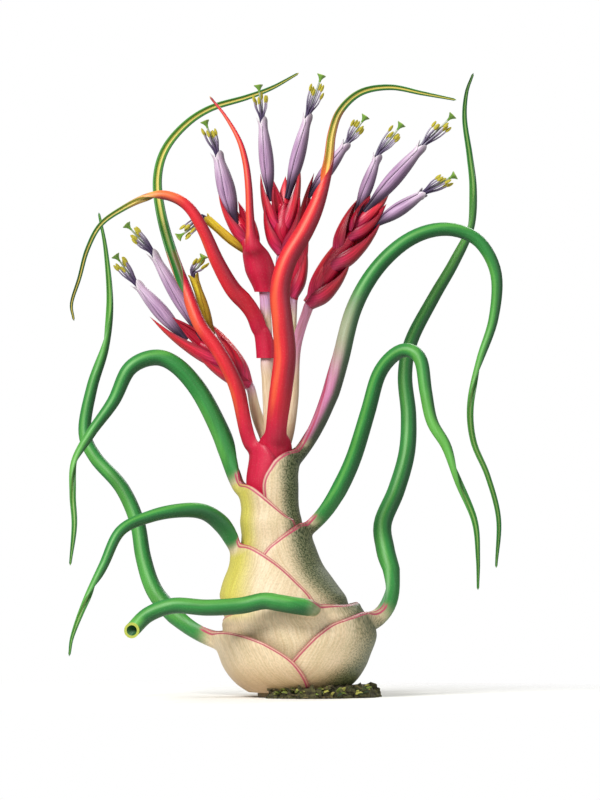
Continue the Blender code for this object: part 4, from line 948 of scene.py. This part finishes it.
class PLANT_OT_spikes(bpy.types.Operator):
    """Adds the five spikes of overlapping red bracts"""
    bl_idname = "plant.add_spikes"
    bl_label = "Flower spikes"

    def execute(self, context):
        # Floral bract: firm and waxy, ribbed lengthwise every 0.5 mm, glossy on its keel
        skin = tinted_skin("floral_bract", 0.4, (NOISE, 2.4, 2.0, (1, 0.04, 0)), (0.35, 0.7, 0.7),
                           context.scene.plant_colours.bract_shade, (0.5, 0.0003))
        rng = random.Random(21)
        for name, spike in SPIKES.items():
            radii = AXIS_RADII if len(spike["axis"]) == 4 else AXIS_RADII[:2] + AXIS_RADII[3:]
            table = [(*point, radius) for point, radius in zip(spike["axis"], radii)]
            red = [(0, "crimson"), (1, "crimson")]
            parts = [lofted("axis", rod_rows(table, red, 12, 24), skin)]
            for bract in spike["bracts"]:
                parts.append(lofted("bract", bract_rows(*bract, rng), skin))
            settled_in(joined(name + "_bracts", parts), [name])
        return {"FINISHED"}


def flower_axis(flower):
    foot, mouth = Vector(flower[1]), Vector(flower[2])
    ahead = (mouth - foot).normalized()
    return foot - ahead * TUBE_SUNK, mouth, ahead


def petal_rows(flower, number, twist, colours):
    """One of the three petals that roll round each other into a tube."""
    start, mouth, ahead = flower_axis(flower)
    length = (mouth - start).length
    side = ahead.orthogonal().normalized()
    other = ahead.cross(side)
    base, body, pale, lip = colours
    rows = []
    points = spans(PETAL_POINTS)
    for k in range(PETAL_RINGS + 1):
        share = k / PETAL_RINGS
        row = []
        for wall, shares in ((0.0, points), (PETAL_WALL, points[::-1])):
            for s in shares:
                at = share * (1 - 0.085 * abs(s) ** 1.6)
                reach = flower[3] / 2 * read_curve(TUBE_OUTLINE, at)
                if at > 0.4:
                    reach = max(reach, MOUTH_RADIUS)
                reach += PETAL_ROLL * s - wall
                reach += 0.55 * smoothstep(0.93, 1.0, share) * (1 - abs(s)) ** 0.5
                reach = max(reach, 0.06)
                turn = math.tau * number / 3 + PETAL_HALF * s + twist * share
                away = swung(side, other, turn)
                at += 0.03 * smoothstep(0.9, 1, share) * (1 - abs(s))
                tint = blend(base, body, smoothstep(0.12, 0.42, share))
                tint = blend(tint, pale, smoothstep(0.6, 0.9, share))
                tint = blend(tint, lip, smoothstep(0.93, 1.0, share))
                # Painted shade: the side of the tube facing the shaded side darkens to the base
                # colour
                dark = 0.94 * smoothstep(-0.35, 0.5, away.dot(SHADED)) * (1 - 0.3 * share)
                tint = blend(tint, base, max(dark, 0.55 * smoothstep(0.84, 1.0, abs(s))))
                span = reach * PETAL_HALF
                row.append((start + ahead * length * at + reach * away,
                            (s * span, share * length, (1 - abs(s)) * span), tint))
        rows.append(row + row[:1])
    return rows


class PLANT_OT_petals(bpy.types.Operator):
    """Adds the petal tube of every flower"""
    bl_idname = "plant.add_petals"
    bl_label = "Petals"

    def execute(self, context):
        # Fresh petal: thin and soft, with faint darker veins. Withered petal: dry and papery,
        # wrinkled lengthwise
        fresh = tinted_skin("lilac_petal", 0.5, (NOISE, 2.6, 2.0, (1, 0.05, 0)),
                            (0.4, 0.68, 0.55), "8E6C9C", (0.3, 0.0002), sheen=0.15)
        dry = tinted_skin("dry_petal", 0.72, (NOISE, 1.8, 3.0, (1, 0.12, 0)), (0.35, 0.7, 0.8),
                          "D8B040", (0.8, 0.0004))
        for number, flower in enumerate(FLOWERS, 1):
            looks = (fresh, 22, ("2E1838", "BC98BA", "D8BFD4", "F0E8EA"), "petal")
            if flower[3] < WITHERED_BELOW:
                looks = (dry, 50, ("8A6A1C", "DDBE26", "EBD82E", "F2E55A"), "withered")
            skin, twist, colours, slot = looks
            parts = [lofted("petal", petal_rows(flower, k, math.radians(twist), colours), skin)
                     for k in range(3)]
            name = f"petals_{number:02d}"
            settled_in(joined(name + "_tube", parts), [name])
        return {"FINISHED"}


def thread(name, points, radius, tip, colour, material):
    """A thin filament drawn out along a smooth path, darker at its foot."""
    table = [(*p, radius + (tip - radius) * i / (len(points) - 1)) for i, p in enumerate(points)]
    rows = rod_rows(table, [(0, "plum"), (0.35, "plum"), (1, colour)], 6, 9)
    return lofted(name, rows, material)


def anther(place, ahead, side, material):
    """A two-lobed anther, slung across the end of its filament."""
    rows = []
    other = ahead.cross(side)
    for k in range(ANTHER_RINGS + 1):
        share = k / ANTHER_RINGS
        size = math.sin(math.pi * min(max(share, 0.02), 0.98)) ** 0.5
        row = []
        for turn in turns(12):
            reach = 0.44 * size * (1 - 0.28 * math.exp(-(math.cos(turn) / 0.35) ** 2))
            row.append((place + ahead * (share - 0.4) * ANTHER_LENGTH
                        + reach * (math.cos(turn) * side * 1.25 + math.sin(turn) * other),
                        (turn, share * ANTHER_LENGTH, 9.0), linear("D2CB44")))
        rows.append(row)
    return lofted("anther", rows, material)


def stigma(place, ahead, side, material):
    """A three-lobed trumpet at the end of the style."""
    rows = []
    other = ahead.cross(side)
    for k, (along, reach) in enumerate(STIGMA_OUTLINE):
        lobes = min(along / 2.2, 1) * 0.3
        rows.append([(place + ahead * along
                      + reach * (1 + lobes * math.cos(3 * turn)) * swung(side, other, turn),
                      (turn, along, 9.0), linear("A8BC58" if k > 3 else "6E9A38"))
                     for turn in turns(24)])
    return lofted("stigma", rows, material)


class PLANT_OT_stamens(bpy.types.Operator):
    """Adds the filaments, anthers, style and stigma of every flower"""
    bl_idname = "plant.add_stamens"
    bl_label = "Stamens"

    def execute(self, context):
        # Filament, style and stigma: moist, smooth flesh with a faint lengthwise streak
        flesh = tinted_skin("filament_flesh", 0.38, (NOISE, 2.0, 1.0, (1, 0.3, 0)),
                            (0.4, 0.7, 0.5), "CBCBCB")
        # Anther: dry pollen grains, drawn 0.15 mm wide so that they show
        pollen = tinted_skin("pollen", 0.9, ("ShaderNodeTexVoronoi", 6500.0, 0.0, None),
                             (0.2, 0.7, 0.6), "9A7A20", (0.6, 0.0002))
        rng = random.Random(5)
        for number, flower in enumerate(FLOWERS, 1):
            _, mouth, ahead = flower_axis(flower)
            end = Vector(flower[4])
            reach = (end - mouth).length
            toward = (end - mouth).normalized()
            side = toward.orthogonal().normalized()
            inside = mouth - ahead * 3
            tip = end - toward * 2.2
            style = [inside, mouth + ahead * 1.0, mouth.lerp(tip, 0.55), tip]
            parts = [thread("style", style, 0.36, 0.32, "mist", flesh),
                     stigma(tip - toward * 0.1, toward, side, flesh)]
            for k in range(STAMENS):
                out = swung(side, toward.cross(side), math.tau * (k + 0.5) / STAMENS)
                far = mouth + toward * reach * (STAMEN_REACH + rng.uniform(-0.12, 0.1))
                far = far + out * STAMEN_SPREAD * rng.uniform(0.85, 1.2)
                low = mouth + ahead * 0.8 + out * 0.65
                between = low.lerp(far, 0.55) + out * 0.35
                parts.append(thread("filament", [inside + out * 0.4, low, between, far],
                                    0.34, 0.26, "filament", flesh))
                parts.append(anther(far, (far - between).normalized(), side, pollen))
            name = f"stamens_{number:02d}"
            settled_in(joined(name + "_cluster", parts), [name])
        return {"FINISHED"}


# Roots --------------------------------------------------------------------------------------

def spur(turn):
    """How much the mat reaches out to the right at a turn, in radians."""
    return smoothstep(0.88, 1.0, math.cos(turn + 0.12))


def mat_rows():
    """The felt of dead roots under the wiry ones, lumpy along its arc."""
    low, high = MAT_BAND
    rows = []
    for k in range(MAT_RINGS + 1):
        share = k / MAT_RINGS
        turn = math.radians(ROOT_ARC[0] + (ROOT_ARC[1] - ROOT_ARC[0]) * share)
        fade = 0.45 + 0.5 * math.sin(math.pi * (share * 0.92 + 0.04)) ** 0.6
        out = Vector((math.cos(turn), math.sin(turn), 0))
        ragged = 0.5 + noise.noise(Vector((share * 17, 3, 0))) + 0.5 * noise.noise(
            Vector((share * 45, 7, 0)))
        far = low + (high - low) * fade * (0.78 + 0.24 * ragged) + MAT_SPUR * spur(turn)
        tall = MAT_HEIGHT * fade * (0.5 + 1.1 * ragged)
        section = [(low, 0.05), (far, 0.05), (far + 0.1, 0.6), (far - 0.8, tall * 0.5),
                   (far - 2.0, tall * 0.8), (far - 3.4, tall), (low + 3.4, 1.4), (low, 0.4)]
        row = []
        for j in range(33):
            at = (j % 32) / 4
            r, z = (a + (b - a) * (at % 1)
                    for a, b in zip(section[int(at) % 8], section[(int(at) + 1) % 8]))
            spot = out * r + Vector((0, 0, z))
            lump = noise.noise(spot * 0.55) + 0.6 * noise.noise(spot * 1.4)
            if z > 0.3:
                r += lump * 0.7
                z = max(z + lump * 0.6, 0.2)
            row.append((out * r + Vector((0, 0, z)), (r, share * 60, 9.0),
                        blend("3A3420", "5A5A2E", 0.5 + 0.5 * lump)))
        rows.append(row)
    return rows


def arc_place(rng, edge):
    """A turn along the mat, some degrees from its ends, and how full the mat is there."""
    turn = rng.uniform(ROOT_ARC[0] + edge, ROOT_ARC[1] - edge)
    share = (turn - ROOT_ARC[0]) / (ROOT_ARC[1] - ROOT_ARC[0])
    return turn, math.sin(math.pi * share) ** 0.5


class PLANT_OT_roots(bpy.types.Operator):
    """Adds the matted roots and the moss caught in them"""
    bl_idname = "plant.add_roots"
    bl_label = "Roots and moss"

    def execute(self, context):
        sizes = context.scene.plant_sizes
        # Dead wiry root: dull brown fibre, cracked across every millimetre or so
        fibre = tinted_skin("root_fibre", 0.92, (NOISE, 900.0, 5.0, None), (0.4, 0.65, 1.0),
                            "6A5E48", (0.9, 0.0006))
        # Moss leaflet: soft, matt green that dries to olive in patches 3 mm wide
        green = tinted_skin("moss_leaflet", 0.8, (NOISE, 330.0, 3.0, None), (0.45, 0.7, 0.8),
                            "7E7440", mode="MIX")
        rng = random.Random(11)
        parts = [lofted("felt", mat_rows(), fibre)]
        for _ in range(sizes.root_count):
            turn, fade = arc_place(rng, 4)
            radius = rng.uniform(12.5, 14 + 7 * fade)
            height = rng.uniform(0.8, 1.4 + MAT_HEIGHT * 0.7 * fade)
            thick = rng.uniform(0.22, 0.45)
            table = []
            for i in range(ROOT_BENDS):
                angle = math.radians(turn)
                table.append((radius * math.cos(angle), radius * math.sin(angle),
                              max(height, thick + 0.1), thick * (1 - 0.1 * i)))
                turn += rng.uniform(-8, 10)
                radius = min(radius + rng.uniform(-0.8, 2.4),
                             14 + 11.5 * fade + MAT_SPUR * spur(angle))
                height = min(height + rng.uniform(-1.0, 0.8), MAT_HEIGHT + 0.6)
            rows = rod_rows(table, [(0, "bark"), (1, "fibre")], 5, 12)
            parts.append(lofted("root", rows, fibre))
        settled_in(joined("root_tangle", parts), ["root_mat"])
        tufts = []
        for _ in range(sizes.moss_count):
            turn, fade = arc_place(rng, 6)
            angle = math.radians(turn)
            radius = rng.uniform(14.5, 14 + 10 * fade)
            foot = Vector((radius * math.cos(angle), radius * math.sin(angle),
                           rng.uniform(0.6, 0.8 + MAT_HEIGHT * 0.6 * fade)))
            lean = Vector((math.cos(angle) + rng.uniform(-0.9, 0.9),
                           math.sin(angle) + rng.uniform(-0.9, 0.9), rng.uniform(0.1, 0.9)))
            tip = foot + lean.normalized() * rng.uniform(1.6, 3.4)
            tip.z = max(tip.z, 0.3)
            middle = foot.lerp(tip, 0.5) + Vector((0, 0, 0.35))
            table = [(*foot, 0.34), (*middle, 0.42), (*tip, 0.08)]
            colour = rng.choice(("moss", "moss_dark", "moss_dry"))
            tufts.append(lofted("leaflet", rod_rows(table, [(0, colour), (1, colour)], 4, 4),
                                green))
        settled_in(joined("moss_tufts", tufts), [])
        return {"FINISHED"}


# Materials ----------------------------------------------------------------------------------

def add_node(tree, kind, inputs=(), **settings):
    """Adds a node with its settings. Each input is a value or the output that it is linked to."""
    node = tree.nodes.new(kind)
    for name, value in settings.items():
        setattr(node, name, value)
    for socket, value in dict(inputs).items():
        if isinstance(value, bpy.types.NodeSocket):
            tree.links.new(value, node.inputs[socket])
        else:
            node.inputs[socket].default_value = value
    return node


def new_material(name):
    material = bpy.data.materials.new(name)
    material.use_nodes = True
    return material, material.node_tree


def patterned(tree, colour, pattern, span, shade, mode="MULTIPLY", gate=None):
    """Lays a shade over a colour in a pattern, and gives the new colour and the pattern.

    The pattern is its texture, scale, detail and stretch across and along the growth. It is
    in the piece's own millimetres, or in metres in space where the stretch is None. The span
    is where the pattern begins, where it is full, and how strong it is there.
    """
    texture, scale, detail, stretch = pattern
    if stretch:
        grain = add_node(tree, "ShaderNodeAttribute", attribute_name="grain")
        where = add_node(tree, "ShaderNodeMapping", {
            "Vector": grain.outputs["Vector"], "Scale": stretch}).outputs["Vector"]
    else:
        where = add_node(tree, "ShaderNodeTexCoord").outputs["Object"]
    spots = add_node(tree, texture, {"Vector": where, "Scale": scale, "Detail": detail}).outputs[0]
    amount = add_node(tree, "ShaderNodeMapRange", {
        "Value": spots, "From Min": span[0], "From Max": span[1],
        "To Max": span[2]}).outputs["Result"]
    if gate is not None:
        amount = add_node(tree, "ShaderNodeMath", {0: amount, 1: gate},
                          operation="MULTIPLY").outputs["Value"]
    mix = add_node(tree, "ShaderNodeMix", {0: amount, 6: colour, 7: (*linear(shade), 1)},
                   data_type="RGBA", blend_type=mode)
    return mix.outputs[2], spots


def finish(tree, colour, roughness, pattern=None, bump=None):
    """Joins a colour to the surface, and a pattern as a (strength, distance in metres) bump."""
    shader = tree.nodes["Principled BSDF"]
    tree.links.new(colour, shader.inputs["Base Color"])
    shader.inputs["Roughness"].default_value = roughness
    if bump:
        relief = add_node(tree, "ShaderNodeBump",
                          {"Strength": bump[0], "Distance": bump[1], "Height": pattern})
        tree.links.new(relief.outputs["Normal"], shader.inputs["Normal"])
    return shader


def tinted_skin(name, roughness, pattern, span, shade, bump=None, mode="MULTIPLY", sheen=0.0):
    """A surface in the piece's own tint with one pattern over it."""
    material, tree = new_material(name)
    tint = add_node(tree, "ShaderNodeAttribute", attribute_name="tint").outputs["Color"]
    colour, spots = patterned(tree, tint, pattern, span, shade, mode)
    shader = finish(tree, colour, roughness, spots, bump)
    shader.inputs["Sheen Weight"].default_value = sheen
    return material


def leaf_skin(colours):
    """Living leaf: a waxy cuticle over green or flushed flesh, with fine lengthwise nerves, a
    dusting of pale scales about 0.2 mm wide, and a pink line along the sheath's margin."""
    found = bpy.data.materials.get("air_plant_leaf")
    if found:
        return found
    material, tree = new_material("air_plant_leaf")
    tint = add_node(tree, "ShaderNodeAttribute", attribute_name="tint")
    # Nerves about 0.6 mm apart, drawn out twenty times their width
    colour, nerves = patterned(tree, tint.outputs["Color"], (NOISE, 1.6, 3.0, (1, 0.05, 0)),
                               (0.35, 0.7, 1.0), "EFE7DF")
    # Broad mottling a few millimetres wide
    colour, _ = patterned(tree, colour, (NOISE, 0.22, 2.0, (1, 0.5, 0)), (0.4, 0.75, 0.5),
                          "E7E7D4")
    # Stipple: dark dots 0.5 mm wide, as thick as the tint's fourth number says, most in painted
    # shade
    colour, _ = patterned(tree, colour, (NOISE, 1.8, 1.0, (1, 1, 0)), (0.45, 0.58, 1.0),
                          "6F8661", gate=tint.outputs["Alpha"])
    # Scales: a scatter of pale dots
    colour, _ = patterned(tree, colour, (NOISE, 3.2, 1.0, (1, 1, 0)), (0.62, 0.74, 0.1),
                          "D9E2C4", "MIX")
    # Pink margin line, only where the flesh is pale, as on the sheaths
    grain = add_node(tree, "ShaderNodeAttribute", attribute_name="grain")
    parts = add_node(tree, "ShaderNodeSeparateXYZ", {"Vector": grain.outputs["Vector"]})
    from_margin = add_node(tree, "ShaderNodeMapRange",
                           {"Value": parts.outputs["Z"], "From Max": MARGIN_BAND})
    line = add_node(tree, "ShaderNodeValToRGB", {"Fac": from_margin.outputs["Result"]})
    stops = line.color_ramp.elements
    while len(stops) < len(MARGIN_LINE):
        stops.new(0.5)
    for stop, (place, strength) in zip(stops, MARGIN_LINE):
        stop.position = place
        stop.color = (strength, strength, strength, 1)
    flesh = add_node(tree, "ShaderNodeSeparateColor", {"Color": tint.outputs["Color"]})
    sheath = add_node(tree, "ShaderNodeMapRange",
                      {"Value": flesh.outputs["Blue"], "From Min": 0.06, "From Max": 0.14})
    strength = add_node(tree, "ShaderNodeMath", {
        0: line.outputs["Color"], 1: sheath.outputs["Result"]}, operation="MULTIPLY")
    pink = add_node(tree, "ShaderNodeMix", {
        0: strength.outputs["Value"], 6: colour,
        7: (*linear(colours.margin), 1)}, data_type="RGBA")
    shader = finish(tree, pink.outputs[2], 0.46, nerves, (0.25, 0.0003))
    shader.inputs["Specular IOR Level"].default_value = 0.4
    return material


def floor_paint():
    """Studio floor: matt white card whose rim fades out, so that no horizon shows."""
    material, tree = new_material("white_card")
    colour, _ = patterned(tree, (*linear("FBFAF6"), 1), (NOISE, 700.0, 2.0, None),
                          (0.4, 0.6, 0.2), "F4F2EC")
    place = add_node(tree, "ShaderNodeTexCoord")
    reach = add_node(tree, "ShaderNodeVectorMath", {0: place.outputs["Object"]},
                     operation="LENGTH")
    fade = add_node(tree, "ShaderNodeMapRange", {
        "Value": reach.outputs["Value"], "From Min": 0.06, "From Max": 0.17,
        "To Min": 1.0, "To Max": 0.0})
    tree.links.new(fade.outputs["Result"], finish(tree, colour, 0.9).inputs["Alpha"])
    return material


# Stage --------------------------------------------------------------------------------------

def soft_light(name, place, size, power):
    """A square soft box that points at the middle of the plant."""
    bpy.ops.object.light_add(type="AREA", location=place)
    lamp = bpy.context.object
    lamp.name = name
    lamp.data.size = size
    lamp.data.energy = power
    aim = Vector(PLANT_MIDDLE) - Vector(place)
    lamp.rotation_euler = aim.to_track_quat("-Z", "Y").to_euler()


def white_room(tree, strength):
    """A plain white room that lights the plant less than it shows, so that forms keep shade."""
    white = (*linear("FFFFFF"), 1)
    shown = tree.nodes["Background"]
    shown.inputs["Color"].default_value = white
    glow = add_node(tree, "ShaderNodeBackground", {"Color": white, "Strength": strength})
    path = add_node(tree, "ShaderNodeLightPath")
    both = add_node(tree, "ShaderNodeMixShader", {
        0: path.outputs["Is Camera Ray"], 1: glow.outputs["Background"],
        2: shown.outputs["Background"]})
    tree.links.new(both.outputs["Shader"], tree.nodes["World Output"].inputs["Surface"])


class PLANT_OT_stage(bpy.types.Operator):
    """Sets the pale floor, the soft lights and the camera"""
    bl_idname = "plant.set_stage"
    bl_label = "Stage"

    def execute(self, context):
        sizes = context.scene.plant_sizes
        scene = context.scene
        pick_nothing()
        bpy.ops.mesh.primitive_circle_add(vertices=96, radius=0.2, fill_type="NGON")
        floor = context.object
        floor.name = "floor"
        floor.data.materials.append(floor_paint())
        for name, place, size, share in LIGHTS:
            soft_light(name, place, size, sizes.key_power * share)
        world = bpy.data.worlds.new("studio_white")
        world.use_nodes = True
        white_room(world.node_tree, sizes.room_light)
        scene.world = world
        scene.view_settings.view_transform = "Standard"
        bpy.ops.object.camera_add(location=(0.001, -sizes.camera_distance, 0.095),
                                  rotation=(math.radians(90), 0, 0))
        camera = context.object
        camera.name = "camera"
        camera.data.sensor_width = SENSOR
        camera.data.lens = SENSOR * sizes.camera_distance / VIEW_WIDTH
        camera.data.clip_end = 20
        scene.camera = camera
        return {"FINISHED"}


# Add-on -------------------------------------------------------------------------------------

class PlantSizes(bpy.types.PropertyGroup):
    """Sizes that can be changed before the pieces are added"""
    sheath_thickness: FloatProperty(
        name="Sheath thickness", description="Wall of a leaf sheath, in millimetres",
        default=0.95, min=0.5, max=1.0)
    blade_rings: IntProperty(
        name="Blade rings", description="Sections along each leaf blade", default=110, min=40,
        max=240)
    root_count: IntProperty(
        name="Roots", description="Number of wiry roots", default=90, min=0, max=200)
    moss_count: IntProperty(
        name="Moss leaflets", description="Number of moss leaflets", default=160, min=1, max=400)
    key_power: FloatProperty(
        name="Key light", description="Power of the main soft light", default=11.0,
        subtype="POWER", unit="POWER")
    room_light: FloatProperty(
        name="Room light", description="Strength of the light from all round", default=0.4,
        min=0.0, max=2.0)
    camera_distance: FloatProperty(
        name="Camera distance", description="From the camera to the bulb", default=3.0,
        subtype="DISTANCE", unit="LENGTH")


class PlantColours(bpy.types.PropertyGroup):
    """Colours that can be changed before the pieces are added, as sRGB hex values"""
    margin: StringProperty(
        name="Sheath margin", description="Line along the edge of a sheath", default="B03A5A")
    bract_shade: StringProperty(
        name="Bract shade", description="Darker red between a bract's ribs", default="A8546A")


STEPS = (PLANT_OT_leaves, PLANT_OT_stalk_leaves, PLANT_OT_stem, PLANT_OT_spikes,
         PLANT_OT_petals, PLANT_OT_stamens, PLANT_OT_roots, PLANT_OT_stage)


class PLANT_PT_panel(bpy.types.Panel):
    """Lists the plant's pieces and their settings"""
    bl_idname = "PLANT_PT_panel"
    bl_label = "Bulbosa Air Plant"
    bl_space_type = "VIEW_3D"
    bl_region_type = "UI"
    bl_category = "Plant"

    def draw(self, context):
        layout = self.layout
        for step in STEPS:
            layout.operator(step.bl_idname)
        for group in (context.scene.plant_sizes, context.scene.plant_colours):
            for name in group.__annotations__:
                layout.prop(group, name)


CLASSES = (PlantSizes, PlantColours, *STEPS, PLANT_PT_panel)


def register():
    for cls in CLASSES:
        bpy.utils.register_class(cls)
    bpy.types.Scene.plant_sizes = PointerProperty(type=PlantSizes)
    bpy.types.Scene.plant_colours = PointerProperty(type=PlantColours)


def unregister():
    del bpy.types.Scene.plant_sizes
    del bpy.types.Scene.plant_colours
    for cls in reversed(CLASSES):
        bpy.utils.unregister_class(cls)


def main():
    register()
    pick_nothing()
    bpy.ops.plant.add_leaves()
    bpy.ops.plant.add_stalk_leaves()
    bpy.ops.plant.add_stem()
    bpy.ops.plant.add_spikes()
    bpy.ops.plant.add_petals()
    bpy.ops.plant.add_stamens()
    bpy.ops.plant.add_roots()
    bpy.ops.plant.set_stage()


if __name__ == "__main__":
    main()
